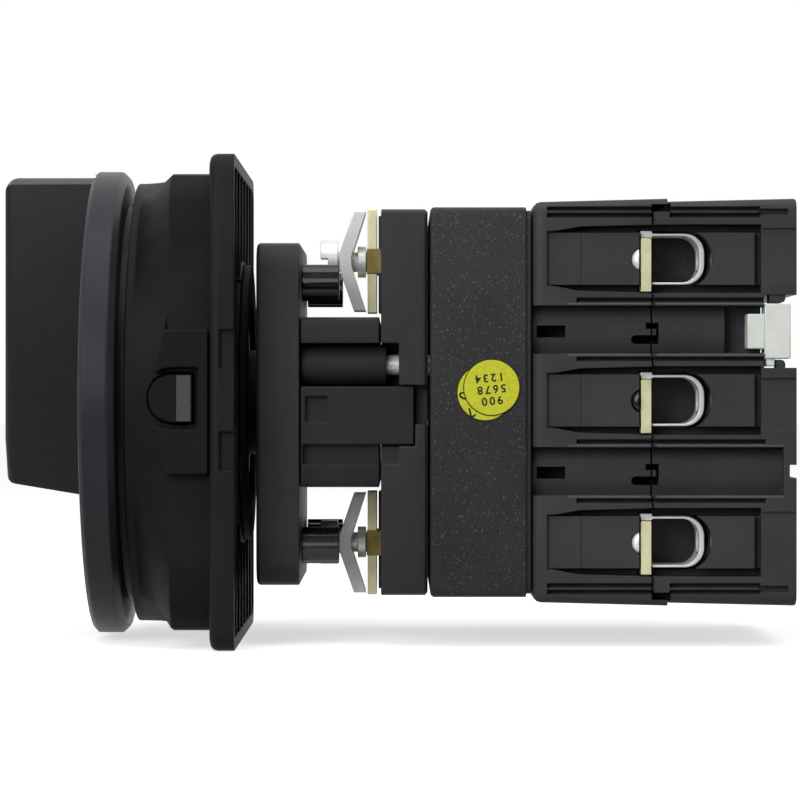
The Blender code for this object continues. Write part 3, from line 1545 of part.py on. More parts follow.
def build():
    handle_grip()
    handle_disc()
    handle_screw()
    padlock_slide()
    lock_housing()
    front_plate()
    panel_seal()
    mounting_flange()
    for side, level, y, z in fixing_places():
        screw_cap(side, level, y, z)
    neck_frame()
    detent_housing()
    detent_wheel()
    detent_plunger()
    detent_spring()
    drive_shaft()
    cam_housing()
    face_cam()
    contact_base()
    contact_cover()
    contact_carrier()
    return_spring()
    for pole in range(POLES):
        contact_bridge(pole)
        contact_spring(pole)
        for side in SIDES:
            terminal_bar(pole, side)
            clamp_strap(pole, side)
            clamp_screw(pole, side)
    for side in SIDES:
        release_tab(side)
        tie_screw(side)
    for level, lift in (("upper", 1), ("lower", -1)):
        saddle_bar(level, lift)
        saddle_clamp(level, lift)
        saddle_screw(level, lift)
    end_plug()


build()
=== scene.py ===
"""Main isolator switch: finishes, fine form, labels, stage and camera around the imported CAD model."""

import json
import math

import bmesh
import bpy
from mathutils import Matrix, Vector
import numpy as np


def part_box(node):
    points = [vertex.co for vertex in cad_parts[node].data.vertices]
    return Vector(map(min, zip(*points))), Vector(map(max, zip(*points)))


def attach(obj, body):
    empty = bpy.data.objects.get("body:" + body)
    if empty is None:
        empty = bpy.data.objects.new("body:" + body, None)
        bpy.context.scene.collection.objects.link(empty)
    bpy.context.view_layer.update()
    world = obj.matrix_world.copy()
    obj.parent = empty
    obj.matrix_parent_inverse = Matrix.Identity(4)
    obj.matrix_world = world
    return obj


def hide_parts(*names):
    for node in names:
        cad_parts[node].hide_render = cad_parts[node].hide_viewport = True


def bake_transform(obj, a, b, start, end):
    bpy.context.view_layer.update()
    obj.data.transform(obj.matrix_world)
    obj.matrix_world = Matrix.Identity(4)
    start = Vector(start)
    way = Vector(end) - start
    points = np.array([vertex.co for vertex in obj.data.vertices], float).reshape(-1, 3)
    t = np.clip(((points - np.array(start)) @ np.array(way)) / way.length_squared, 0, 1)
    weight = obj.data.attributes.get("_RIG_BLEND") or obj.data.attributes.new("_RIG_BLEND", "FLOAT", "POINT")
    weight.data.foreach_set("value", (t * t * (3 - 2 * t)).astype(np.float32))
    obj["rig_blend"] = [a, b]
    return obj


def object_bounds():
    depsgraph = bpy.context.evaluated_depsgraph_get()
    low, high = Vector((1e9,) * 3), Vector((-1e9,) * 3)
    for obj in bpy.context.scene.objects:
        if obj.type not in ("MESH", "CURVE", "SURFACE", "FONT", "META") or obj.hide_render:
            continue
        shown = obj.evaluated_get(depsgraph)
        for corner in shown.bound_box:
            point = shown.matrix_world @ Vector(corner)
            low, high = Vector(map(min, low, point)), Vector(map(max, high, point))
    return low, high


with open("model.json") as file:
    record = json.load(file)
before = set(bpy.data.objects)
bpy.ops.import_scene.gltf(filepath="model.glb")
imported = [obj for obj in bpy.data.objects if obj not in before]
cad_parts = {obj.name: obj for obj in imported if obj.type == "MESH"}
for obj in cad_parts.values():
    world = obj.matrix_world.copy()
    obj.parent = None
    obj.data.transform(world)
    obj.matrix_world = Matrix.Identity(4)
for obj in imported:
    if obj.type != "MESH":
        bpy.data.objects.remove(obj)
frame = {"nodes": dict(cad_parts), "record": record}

bl_info = {
    "name": "Main isolator switch",
    "version": (1, 0, 0),
    "blender": (4, 5, 0),
    "location": "3D View > Sidebar > Isolator",
    "description": "Dresses a door-mounted main isolator switch and sets its stage",
    "category": "Object",
}

MM = 0.001
CAD_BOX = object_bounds()
NODES = frame["nodes"]
BODIES = {node: body for body, nodes in frame["record"]["behaviour"]["bodies"].items() for node in nodes}
SIGNS = {"near": -1, "far": 1}
SIDES = tuple(SIGNS)
LEVELS = ("upper", "lower")
POLES = (1, 2, 3)

# Points nearer than this many millimetres are joined, and edges sharper than this angle are shaded sharp
MERGE = 0.002
SHARP = math.radians(40)


# Colours and sizes that a user may change

def linear(code):
    """The linear colour, with alpha, of an sRGB hex code."""
    values = [int(code[i : i + 2], 16) / 255 for i in (1, 3, 5)]
    return [v / 12.92 if v <= 0.04045 else ((v + 0.055) / 1.055) ** 2.4 for v in values] + [1.0]


def colour(name, code, description):
    """A colour property."""
    return bpy.props.FloatVectorProperty(
        name=name, description=description, default=linear(code), size=4, min=0, max=1, subtype="COLOR"
    )


def length(name, millimetres, description):
    """A length property, in metres."""
    return bpy.props.FloatProperty(
        name=name, description=description, default=millimetres * MM, min=0, unit="LENGTH", subtype="DISTANCE"
    )


class SwitchColours(bpy.types.PropertyGroup):
    """Colours of the switch and its stage."""

    grip: colour("Grip", "#232327", "Satin polyamide of the handle")
    disc: colour("Disc", "#2F2F34", "Smooth polyamide of the handle's disc")
    housing: colour("Lock housing", "#19191B", "Satin polyamide of the lock housing")
    plate: colour("Front plate", "#1F1F22", "Satin polyamide of the front plate")
    frame: colour("Flange and detent", "#363437", "Grained polyamide of the flange and detent housing")
    neck: colour("Neck", "#2B2A2C", "Grained polyamide of the neck")
    block: colour("Contact block", "#3F3D40", "Grained polyamide of the contact block")
    # Lane rims: paler than the block, a painted highlight along the rail edges
    rim: colour("Lane rims", "#58575B", "Thin rims of the contact block's lanes, rubbed pale")
    cam: colour("Cam housing", "#333234", "Sparked polyamide of the cam housing")
    gloss: colour("Gloss parts", "#101012", "Polished polyamide of the caps and tabs")
    # Tab strip: a paler colour that is a painted sheen on the end of each release tab
    strip: colour("Tab strip", "#4E4E52", "Worn strip on each release tab")
    tarnish: colour("Tarnished brass", "#9C8B4C", "Nuts of the saddle clamps")
    rubber: colour("Seal", "#0C0C0D", "Rubber of the panel seal")
    nylon: colour("Plug", "#F4F8F0", "Natural nylon")
    zinc: colour("Zinc", "#FBFCFC", "Bright zinc on steel")
    brass: colour("Brass", "#FBF3C6", "Stamped brass, tumbled matt")
    steel: colour("Steel", "#C6C8CA", "Drawn steel")
    label: colour("Label", "#D8DA2C", "Yellow label paper")
    # Label glue: a dark ring round each label's edge, painted shadow
    glue: colour("Label glue", "#22220C", "Edge of glue round the labels")
    ink: colour("Ink", "#1B1B12", "Print on the labels")
    floor: colour("Floor", "#F2F2F2", "Pale studio floor")


class SwitchSizes(bpy.types.PropertyGroup):
    """Sizes of the pieces that the CAD model leaves to the scene."""

    edge: length("Moulded edge", 0.2, "Width of the small bevel on moulded edges")
    metal_edge: length("Metal edge", 0.12, "Width of the bevel on stamped metal")
    label_diameter: length("Label diameter", 10.1, "Width of each round label")
    label_thickness: length("Label thickness", 0.12, "Paper and glue of one label")


# Materials

def feed(tree, node, inputs):
    """Sets a node's inputs; a socket given as a value is linked, and so is a node, by its first output."""
    for key, value in inputs.items():
        if isinstance(value, bpy.types.Node):
            value = value.outputs[0]
        if isinstance(value, bpy.types.NodeSocket):
            tree.links.new(value, node.inputs[key])
        else:
            node.inputs[key].default_value = value


def add_node(tree, kind, inputs=None, **settings):
    """Adds a node of that kind with its settings, its values and the links into it."""
    made = tree.nodes.new(kind)
    for key, value in settings.items():
        setattr(made, key, value)
    feed(tree, made, inputs or {})
    return made


def new_material(name, values):
    """A material with a Principled shader; returns it, its tree, the shader and the place in metres."""
    material = bpy.data.materials.new(name)
    material.use_nodes = True
    tree = material.node_tree
    tree.nodes.clear()
    shader = add_node(tree, "ShaderNodeBsdfPrincipled", values)
    add_node(tree, "ShaderNodeOutputMaterial", {"Surface": shader})
    place = add_node(tree, "ShaderNodeTexCoord").outputs["Object"]
    return material, tree, shader, place


def scaled(base, factor):
    """A colour made darker or lighter."""
    return [min(1.0, part * factor) for part in base[:3]] + [1.0]


# Most of a noise lies between these two values
SPAN = (0.3, 0.7)

# Sizes of the patterns, in millimetres; the specks' is a share of the grain's
CLOUDS = 14
SPECKS = 1.3
STAINS = 2.5
FLOW = 4
RIPPLE = 0.6
FIBRE = 0.5
MOTTLE = 60

# Width of the edges that shading rounds, and the height of a metal's scratches, in millimetres
PLASTIC_EDGE = 0.25
METAL_EDGE = 0.12
SCRATCH = 0.006


def toned(tree, value, low, high, first, second, most=1.0):
    """The first colour, with up to that share of the second mixed in as the value goes from low to high."""
    span = {"Value": value, "From Min": low, "From Max": high, "To Max": most}
    share = add_node(tree, "ShaderNodeMapRange", span)
    return add_node(tree, "ShaderNodeMix", {0: share, 6: first, 7: second}, data_type="RGBA").outputs[2]


def surfaced(tree, shader, tone, height, relief, edge=None, roughness=None):
    """Gives the shader its colour, bumps and rounded edges in millimetres, and a range of roughness."""
    if roughness:
        span = dict(zip(("From Min", "From Max", "To Min", "To Max"), (*SPAN, *roughness)))
        feed(tree, shader, {"Roughness": add_node(tree, "ShaderNodeMapRange", {"Value": height, **span})})
    values = {"Height": height, "Distance": relief * MM, "Strength": 1.0}
    if edge:
        values["Normal"] = add_node(tree, "ShaderNodeBevel", {"Radius": edge * MM}, samples=4)
    feed(tree, shader, {"Base Color": tone, "Normal": add_node(tree, "ShaderNodeBump", values)})


def moulded(name, base, grain, roughness, relief, specks=0.0, sheen=0.16):
    """Injection-moulded polyamide: flow clouds in the colour, and spark-eroded grain of that size in mm."""
    material, tree, shader, place = new_material(name, {"IOR": 1.5, "Specular IOR Level": sheen})
    clouds = add_node(tree, "ShaderNodeTexNoise", {"Vector": place, "Scale": 1 / (CLOUDS * MM), "Detail": 3})
    pattern = {"Vector": place, "Scale": 1 / (grain * MM), "Roughness": 0.6}
    grit = add_node(tree, "ShaderNodeTexNoise", pattern)
    tone = toned(tree, clouds, *SPAN, scaled(base, 0.86), scaled(base, 1.16))
    tone = toned(tree, grit, 0.4, 0.75, tone, scaled(base, 1.5), 0.5)
    if specks:
        # Glass fibre ends catch the light as pale specks, drawn coarser than the real ones so that they show
        pattern = {"Vector": place, "Scale": 1 / (grain * SPECKS * MM), "Detail": 0}
        ends = add_node(tree, "ShaderNodeTexNoise", pattern)
        tone = toned(tree, ends, 0.7, 0.78, tone, scaled(base, 7), specks)
    surfaced(tree, shader, tone, grit, relief, PLASTIC_EDGE, (roughness - 0.06, roughness + 0.08))
    return material


def metal(name, base, roughness, grain, wear, bare=1.0):
    """Plated or stamped metal: cloudy, with grain of that size in mm; bare is the share that mirrors."""
    material, tree, shader, place = new_material(name, {"Metallic": bare})
    stains = add_node(tree, "ShaderNodeTexNoise", {"Vector": place, "Scale": 1 / (STAINS * MM), "Detail": 3})
    pattern = {"Vector": place, "Scale": 1 / (grain * MM), "Roughness": 0.6}
    grit = add_node(tree, "ShaderNodeTexNoise", pattern)
    tone = toned(tree, stains, *SPAN, scaled(base, 1 - wear), scaled(base, 1.1))
    surfaced(tree, shader, tone, grit, SCRATCH, METAL_EDGE, (roughness - 0.08, roughness + 0.1))
    return material


def natural_nylon(name, base):
    """Unfilled nylon: pale, a little translucent, with soft flow marks."""
    values = {"IOR": 1.53, "Roughness": 0.45, "Subsurface Weight": 0.25, "Subsurface Scale": 1.5 * MM}
    material, tree, shader, place = new_material(name, values)
    flow = add_node(tree, "ShaderNodeTexNoise", {"Vector": place, "Scale": 1 / (FLOW * MM), "Detail": 3})
    tone = toned(tree, flow, *SPAN, scaled(base, 0.93), scaled(base, 1.04))
    ripple = add_node(tree, "ShaderNodeTexNoise", {"Vector": place, "Scale": 1 / (RIPPLE * MM)})
    surfaced(tree, shader, tone, ripple, 0.01, PLASTIC_EDGE)
    return material


def label_paper(name, base):
    """Coated label paper: even colour with faint fibres."""
    material, tree, shader, place = new_material(name, {"IOR": 1.45, "Roughness": 0.42})
    fibre = add_node(tree, "ShaderNodeTexNoise", {"Vector": place, "Scale": 1 / (FIBRE * MM), "Detail": 3})
    tone = toned(tree, fibre, 0.35, 0.65, scaled(base, 0.93), scaled(base, 1.06))
    surfaced(tree, shader, tone, fibre, 0.005)
    return material


# Satin and grained plastic have a soft grey sheen, sparked is coarser with specks, polished has small bright
# lights. Zinc is a cool clouded grey, brass a warm matt tone, tarnished brass browner and nylon milky.
# Plastics by colour, grain, roughness and relief; metals by colour, roughness, grain, wear and bare share.
MAKERS = {
    "satin_polyamide_grip": lambda n, c: moulded(n, c.grip, 0.35, 0.46, 0.018),
    "smooth_polyamide_disc": lambda n, c: moulded(n, c.disc, 0.5, 0.36, 0.008),
    "satin_polyamide_housing": lambda n, c: moulded(n, c.housing, 0.35, 0.5, 0.014, sheen=0.08),
    "satin_polyamide_plate": lambda n, c: moulded(n, c.plate, 0.35, 0.5, 0.014, sheen=0.1),
    "grained_polyamide_neck": lambda n, c: moulded(n, c.neck, 0.3, 0.5, 0.02),
    "grained_polyamide_frame": lambda n, c: moulded(n, c.frame, 0.3, 0.5, 0.02),
    "grained_polyamide_block": lambda n, c: moulded(n, c.block, 0.3, 0.5, 0.02),
    # The rims' paler tone is a painted highlight where the rail edges catch the light
    "highlight_polyamide_rim": lambda n, c: moulded(n, c.rim, 0.3, 0.4, 0.01),
    "sparked_polyamide_cam": lambda n, c: moulded(n, c.cam, 0.28, 0.58, 0.03, 0.35),
    "polished_polyamide": lambda n, c: moulded(n, c.gloss, 0.6, 0.2, 0.004, sheen=0.5),
    "satin_polyamide_tab": lambda n, c: moulded(n, c.gloss, 0.6, 0.5, 0.004, sheen=0.12),
    # A paler strip that is a painted sheen on each release tab
    "sheen_polyamide_strip": lambda n, c: moulded(n, c.strip, 0.6, 0.35, 0.004),
    "tarnished_brass": lambda n, c: metal(n, c.tarnish, 0.5, 0.3, 0.4, 0.5),
    "seal_rubber": lambda n, c: moulded(n, c.rubber, 0.4, 0.62, 0.02),
    "natural_nylon": lambda n, c: natural_nylon(n, c.nylon),
    "zinc_plated_steel": lambda n, c: metal(n, c.zinc, 0.32, 0.15, 0.08, 0.35),
    "stamped_brass": lambda n, c: metal(n, c.brass, 0.42, 0.3, 0.12, 0.45),
    "drawn_steel": lambda n, c: metal(n, c.steel, 0.3, 0.2, 0.2),
    "label_paper": lambda n, c: label_paper(n, c.label),
    # A dark ring of painted shadow round each label's edge
    "label_shadow_ring": lambda n, c: label_paper(n, c.glue),
    "label_ink": lambda n, c: label_paper(n, c.ink),
}


def finish(name):
    """The material of that name, made at its first use."""
    made = bpy.data.materials.get(name)
    return made or MAKERS[name](name, bpy.context.scene.switch_colours)


# Meshes

def new_piece(name, bm, material, body):
    """Puts a bmesh in metres into the scene, with its finish and slot, riding on the body if one is named."""
    mesh = bpy.data.meshes.new(name)
    for face in bm.faces:
        face.smooth = True
    for edge in bm.edges:
        edge.smooth = len(edge.link_faces) == 2 and edge.calc_face_angle(0) < SHARP
    bm.to_mesh(mesh)
    bm.free()
    for attribute in [a.name for a in mesh.attributes if a.name == "custom_normal"]:
        mesh.attributes.remove(mesh.attributes[attribute])
    mesh.materials.clear()
    mesh.materials.append(finish(material))
    piece = bpy.data.objects.new(name, mesh)
    bpy.context.scene.collection.objects.link(piece)
    if body:
        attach(piece, body)
    return piece


def merged_copy(node):
    """A bmesh of a CAD node's surface with its loose triangles joined."""
    bm = bmesh.new()
    bm.from_mesh(NODES[node].data)
    bmesh.ops.remove_doubles(bm, verts=bm.verts, dist=MERGE * MM)
    return bm


def rounded(piece, width):
    """Gives a piece narrow rounded edges."""
    bevel = piece.modifiers.new("Edge", "BEVEL")
    bevel.width = width
    bevel.segments = 2
    bevel.limit_method = "ANGLE"
    bevel.angle_limit = SHARP
    bevel.use_clamp_overlap = False
    return piece


def beside(node, ending, bm, material):
    """A piece named after a CAD node, on its body and in its slot."""
    return new_piece(node + ending, bm, material, BODIES[node])


def stand_in(node, bm, material):
    """Shows a bmesh in metres in place of a CAD node."""
    piece = beside(node, "_shell", bm, material)
    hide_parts(node)
    return piece


def dress(nodes, material, edge=None):
    """Shows each CAD node as a merged copy with that finish, its edges rounded where a width is given."""
    for node in nodes:
        piece = stand_in(node, merged_copy(node), material)
        if edge:
            rounded(piece, edge)


def each(stem, *groups):
    """The node names of a repeated piece, such as each(stem, POLES, SIDES)."""
    names = [stem]
    for group in groups:
        names = [f"{name}_{part}" for name in names for part in group]
    return names


# Solid shapes, in millimetres until in_metres takes them

def slab(low, high):
    """A box between two corners."""
    low = Vector(low)
    size = Vector(high) - low
    bm = bmesh.new()
    place = Matrix.Translation(low + size / 2) @ Matrix.Diagonal((*size, 1))
    bmesh.ops.create_cube(bm, size=1, matrix=place)
    return bm


def rod(along, start, end, centre, radius, segments=24):
    """A cylinder along x or y; centre is its place on the other two axes."""
    bm = bmesh.new()
    bmesh.ops.create_cone(
        bm, cap_ends=True, segments=segments, radius1=radius, radius2=radius, depth=abs(end - start)
    )
    turn = Matrix.Rotation(math.radians(90), 3, "Y" if along == "x" else "X")
    bmesh.ops.rotate(bm, verts=bm.verts, matrix=turn)
    middle = (start + end) / 2
    place = (middle, *centre) if along == "x" else (centre[0], middle, centre[1])
    bmesh.ops.translate(bm, verts=bm.verts, vec=place)
    return bm


def drawn(ring, travel):
    """A flat outline carried along a line."""
    bm = bmesh.new()
    bm.faces.new([bm.verts.new(point) for point in ring])
    grown = bmesh.ops.extrude_face_region(bm, geom=list(bm.faces))["geom"]
    moved = [item for item in grown if isinstance(item, bmesh.types.BMVert)]
    bmesh.ops.translate(bm, verts=moved, vec=travel)
    bmesh.ops.recalc_face_normals(bm, faces=bm.faces)
    return bm


def side_drawn(outline, start, end):
    """An (x, z) outline carried along y."""
    return drawn([(x, start, z) for x, z in outline], (0, end - start, 0))


def arc(centre, radius, first, last, steps):
    """Points on an arc, in degrees, both ends included."""
    turns = [math.radians(first + (last - first) * step / steps) for step in range(steps + 1)]
    return [(centre[0] + radius * math.cos(turn), centre[1] + radius * math.sin(turn)) for turn in turns]


def gathered(shapes):
    """One bmesh from several that don't meet."""
    bm = bmesh.new()
    for shape in shapes:
        mesh = bpy.data.meshes.new("shape")
        shape.to_mesh(mesh)
        shape.free()
        bm.from_mesh(mesh)
        bpy.data.meshes.remove(mesh)
    return bm


def cuts(*groups):
    """Steps for carved that cut away each group of shapes in turn."""
    return [("DIFFERENCE", shapes) for shapes in groups]


def carved(bm, *steps):
    """The shape after each (operation, shapes) step in turn."""
    scene = bpy.context.scene.collection
    made = []
    for shape in (bm, *(gathered(shapes) for _, shapes in steps)):
        mesh = bpy.data.meshes.new("carving")
        shape.to_mesh(mesh)
        shape.free()
        made.append(bpy.data.objects.new("carving", mesh))
        scene.objects.link(made[-1])
    for (operation, _), guide in zip(steps, made[1:]):
        step = made[0].modifiers.new(operation, "BOOLEAN")
        step.operation = operation
        step.solver = "EXACT"
        step.object = guide
    result = bmesh.new()
    result.from_object(made[0], bpy.context.evaluated_depsgraph_get())
    for piece in made:
        mesh = piece.data
        bpy.data.objects.remove(piece)
        bpy.data.meshes.remove(mesh)
    bmesh.ops.remove_doubles(result, verts=result.verts, dist=MERGE)
    return result


def in_metres(bm):
    """The shape taken from millimetres to metres."""
    bmesh.ops.scale(bm, verts=bm.verts, vec=(MM, MM, MM))
    return bm


def lettering(text, size, x, z, turn, face):
    """Plain numbers on a face across y, centred there and turned by some degrees."""
    curve = bpy.data.curves.new("lettering", "FONT")
    curve.body = text
    curve.size = size
    curve.align_x = "CENTER"
    curve.align_y = "CENTER"
    curve.offset = PRINT_BOLD
    curve.space_character = PRINT_SPACING
    curve.extrude = PRINT_THICK / 2
    holder = bpy.data.objects.new("lettering", curve)
    mesh = bpy.data.meshes.new_from_object(holder)
    bm = bmesh.new()
    bm.from_mesh(mesh)
    bpy.data.meshes.remove(mesh)
    bpy.data.objects.remove(holder)
    bpy.data.curves.remove(curve)
    stand = Matrix.Rotation(math.radians(-turn), 3, "Y") @ Matrix.Rotation(math.radians(90), 3, "X")
    bmesh.ops.rotate(bm, verts=bm.verts, matrix=stand)
    bmesh.ops.translate(bm, verts=bm.verts, vec=(x, face, z))
    bmesh.ops.remove_doubles(bm, verts=bm.verts, dist=MERGE / 2)
    return bm


# Small pieces beside the handle and the saddle clamps, in millimetres

STRIP_PROUD = 0.06
STRIP_EDGE = 0.25
STRIP_WIDE = 2.6
NUT_REACH = (0.15, 0.25)  # in front of the bar and behind it
NUT_PROUD = 0.2
NUT_DEEP = 4.0
NUT_HALF = 2.4

# Labels, in millimetres, with plain numbers for print

LABELS = (("label_under", 45.5, 1.75), ("label_top", 46.7, 2.7))  # name, x, z
LABEL_STEP = 1.2  # from one label to the next, in thicknesses
# How far the dark ring of painted shadow reaches beyond each label
LABEL_SHADOW_WIDTH = 0.18
LABEL_SEGMENTS = 96
PRINT_THICK = 0.04
PRINT_BOLD = 0.05
PRINT_SPACING = 1.4
LABEL_PRINT = (  # text, size, x, z, turn in degrees and label
    ("1234", 2.05, 46.3, 4.5, 186, 1),
    ("5678", 2.05, 46.7, 2.4, 186, 1),
    ("900", 2.05, 46.8, 0.3, 186, 1),
    ("0", 2.8, 41.6, 1.2, 250, 0),
    ("7", 2.6, 42.8, -1.9, 218, 0),
)

# Contact block: places taken from the CAD nodes, and sizes in millimetres

SEAT = 0.3
THROUGH = 2.0
BASE_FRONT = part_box("contact_base")[0].x / MM
BASE_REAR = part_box("terminal_bar_1_near")[1].x / MM
COVER_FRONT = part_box("contact_cover")[0].x / MM
COVER_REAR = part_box("contact_cover")[1].x / MM
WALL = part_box("contact_cover")[1].y / MM
POLE_HEIGHTS = [sum(corner.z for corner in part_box(f"clamp_screw_{pole}_near")) / 2 / MM for pole in POLES]
LANE_HEIGHTS = [(upper + lower) / 2 for upper, lower in zip(POLE_HEIGHTS, POLE_HEIGHTS[1:])]
CLAMP_PLACE = sum(corner.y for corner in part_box("clamp_screw_1_far")) / 2 / MM
SPRING_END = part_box("return_spring")[1].x / MM
BLOCK_HALF = 36.8
BLOCK_TOP = 37.4
BLOCK_CORNER = 2.0
FRONT_ROUND = 1.5
REAR_ROUND = 0.5
BAY_HALF = 5.1
BAY_DEEP = 0.8
BAY_FRONT_WALL = 2.6
BAY_REAR_WALL = 7.4
BAY_END_DEEP = 0.5
BAY_END_HALF = 5.6
BAY_END_NARROW = 4.1
GUTTER_START = 4.8
GUTTER_WIDE = 1.5
GUTTER_KNEE = (6.0, 1.1)  # length, width
GUTTER_DEEP = 6.5
GUTTER_REAR = (0.9, 2.8)  # length, depth
GROOVE_HALF = 0.5
GROOVE_DEEP = 1.7
GROOVE_INNER = 7.95
GROOVE_OUTER = 9.15
GROOVE_LANE = 7.6
GROOVE_FRONT_WALL = 8.0
GROOVE_REAR_WALL = 6.7
POCKET = (1.6, 5.4, 1.6)  # from the rear, length, depth
LANE_HALF = 4.45
LANE_DEEP = 2.9
LANE_EDGE_DEEP = 4.3
LANE_STEPS = 8
LANE_REAR_WALL = 2.4
LANE_POCKET = (7.0, 4.2, 7.0)  # length, half height, depth
LANE_SLOT = (0.8, 6.1, 1.1)  # start, end, half height
RIM_RADIUS = 0.3
RIM_PROUD = 0.06
RIM_START = 6.4
RIM_SEGMENTS = 12
CREVICE_DEEP = 12.5
LATCH_GAP = 0.5
LATCH_REACH = 1.5
LATCH_LENGTH = 3.8
LATCH_NOTCH = (0.9, 0.2, 1.3)  # length, low, high
LATCH_SLOT = (-2.6, -1.0)  # low, high
NOTCH_LENGTH = 6.0
NOTCH_LIFT = -0.3
NOTCH_HALF = 6.7
NICK = (1.3, 1.2)  # depth, half height
SNAP_END = 2.1
SNAP_HEADS = {1: 2.9, -1: 1.6}  # length of the upper and the lower hook
SNAP_ROUND = 0.8
SNAP_NOSE = ((1, 0.4), (0.7, 0.12))  # shares of its round and of its height
SNAP_RISE = 1.5
SNAP_DEEP = 5.0
LIP_LENGTH = 2.95
LIP_DEEP = 1.1
LIP_POCKET = (1.1, 6.0)  # height, depth
SEAM = (0.25, 0.8)  # width, depth
STEP = (6.2, 0.12)  # start, depth
BAR_THICK = 1.9
BAR_FRONT = BASE_REAR - BAR_THICK
BAR_SLOT = (-6.35, 5.45)  # low, high
BAR_RELIEF = (2.22, 4.0)  # radius, depth
MOUTH_HALF = 5.3
MOUTH_LENGTH = 11.0
MOUTH_DEEP = 14.5
BORE_RADIUS = 3.7
BORE_SEGMENTS = 32
SPRING_BORE = 4.2
WELL_WALL = 3.4
WELL_DEPTH = 19.0
WELL_HALF = 32.5
FOLLOWER = (14.0, 2.1)  # height, radius
STRAP_HALF = 4.7
STRAP_ROUND = 3.6
STRAP_THICK = 0.42
STRAP_REAR = 0.9
STRAP_LENGTH = 11.7
STRAP_WIDTH = 10.0
STRAP_HOOK = (3.95, 5.2)  # low, high
STRAP_HOLE = 2.3
SCREW_BACK = 2.2
DOME_RADIUS = 2.15
DOME_PLACE = (0.35, -0.1)  # behind the bar's front, above its middle
DOME_CUT = 0.4
DOME_ROUND = 1.1
DOME_SEGMENTS = 40
DARK_DOME = 2  # the pole whose domes are plastic
DOME_DEPTH = (0.5, 3.5)  # of the outer and the inner end
PLUG_INSET = 1.1
PLUG_LENGTH = 4.8
PLUG_HALF = 5.0
PLUG_NECK = (3.1, 3.2)  # length, half height
PLUG_DEEP = 6.5
PLUG_EAR = (1.6, 1.4)  # length, drop


def side_slots(low, high, deep, start, end):
    """A slot along the shaft in both side walls, between two heights."""
    slots = []
    for sign in SIGNS.values():
        wall = sorted((sign * (WALL + THROUGH), sign * (WALL - deep)))
        slots.append(slab((start, wall[0], low), (end, wall[1], high)))
    return slots


def side_shapes(outline, deep):
    """An (x, z) outline sunk into both side walls."""
    return [side_drawn(outline, sign * (WALL + THROUGH), sign * (WALL - deep)) for sign in SIGNS.values()]


def wall_cuts(outline, start, end):
    """A (depth, z) outline carried along the shaft in both side walls; its depths run inwards."""
    shapes = []
    for sign in SIGNS.values():
        ring = [(start, sign * (WALL - deep), z) for deep, z in outline]
        shapes.append(drawn(ring, (end - start, 0, 0)))
    return shapes


def lane_cuts(height, start, end):
    """A lane with a crowned floor in both side walls."""
    outline = [(-THROUGH, height - LANE_HALF)]
    for step in range(LANE_STEPS + 1):
        part = 2 * step / LANE_STEPS - 1
        outline.append((LANE_DEEP - (LANE_DEEP - LANE_EDGE_DEEP) * part * part, height + LANE_HALF * part))
    outline.append((-THROUGH, height + LANE_HALF))
    return wall_cuts(outline, start, end)


def rail_grooves(start, inner_start, end, inner_end):
    """The V grooves that part the rails: two beyond the outer poles, one beside each lane."""
    grooves = []
    flare = GROOVE_HALF * (GROOVE_DEEP + THROUGH) / GROOVE_DEEP
    for pole, height in zip(POLES, POLE_HEIGHTS):
        for lift in (1, -1):
            outside = (pole, lift) in ((POLES[0], 1), (POLES[-1], -1))
            first, last = (start, end) if outside else (inner_start, inner_end)
            for offset in (GROOVE_INNER, GROOVE_OUTER) if outside else (GROOVE_LANE,):
                middle = height + lift * offset
                outline = [(-THROUGH, middle - flare), (GROOVE_DEEP, middle), (-THROUGH, middle + flare)]
                grooves += wall_cuts(outline, first, last)
    return grooves


def latch_crevices(height):
    """The dark crevice round the latch that joins base and cover in a lane."""
    seam = BASE_REAR + LATCH_REACH
    length, *notch = LATCH_NOTCH
    low, high = LATCH_SLOT
    end = seam - LATCH_GAP - LATCH_LENGTH
    outline = [
        (BASE_REAR - length, notch[0]),
        (seam - LATCH_GAP, notch[0]),
        (seam - LATCH_GAP, high),
        *arc((end, (low + high) / 2), (high - low) / 2, 90, 270, 6),
        (seam, low),
        (seam, notch[1]),
        (BASE_REAR - length, notch[1]),
    ]
    return side_shapes([(x, height + z) for x, z in outline], CREVICE_DEEP)


def block_half(front, rear, front_round, rear_round):
    """Half of the contact block, a little taller at its rear, with its rims rounded."""
    bm = slab((front, -WALL, -BLOCK_HALF), (rear, WALL, BLOCK_HALF))
    corners = [edge for edge in bm.edges if abs(edge.verts[0].co.x - edge.verts[1].co.x) > SEAT]
    style = {"segments": 3, "profile": 0.5, "affect": "EDGES", "material": -1}
    bmesh.ops.bevel(bm, geom=corners, offset=BLOCK_CORNER, **style)
    for vert in bm.verts:
        if vert.co.x > rear - SEAT:
            vert.co.z *= BLOCK_TOP / BLOCK_HALF
    for place, width in ((front, front_round), (rear, rear_round)):
        rim = [edge for edge in bm.edges if width and all(abs(v.co.x - place) < 0.01 for v in edge.verts)]
        bmesh.ops.bevel(bm, geom=rim, offset=width, **style)
    return bm


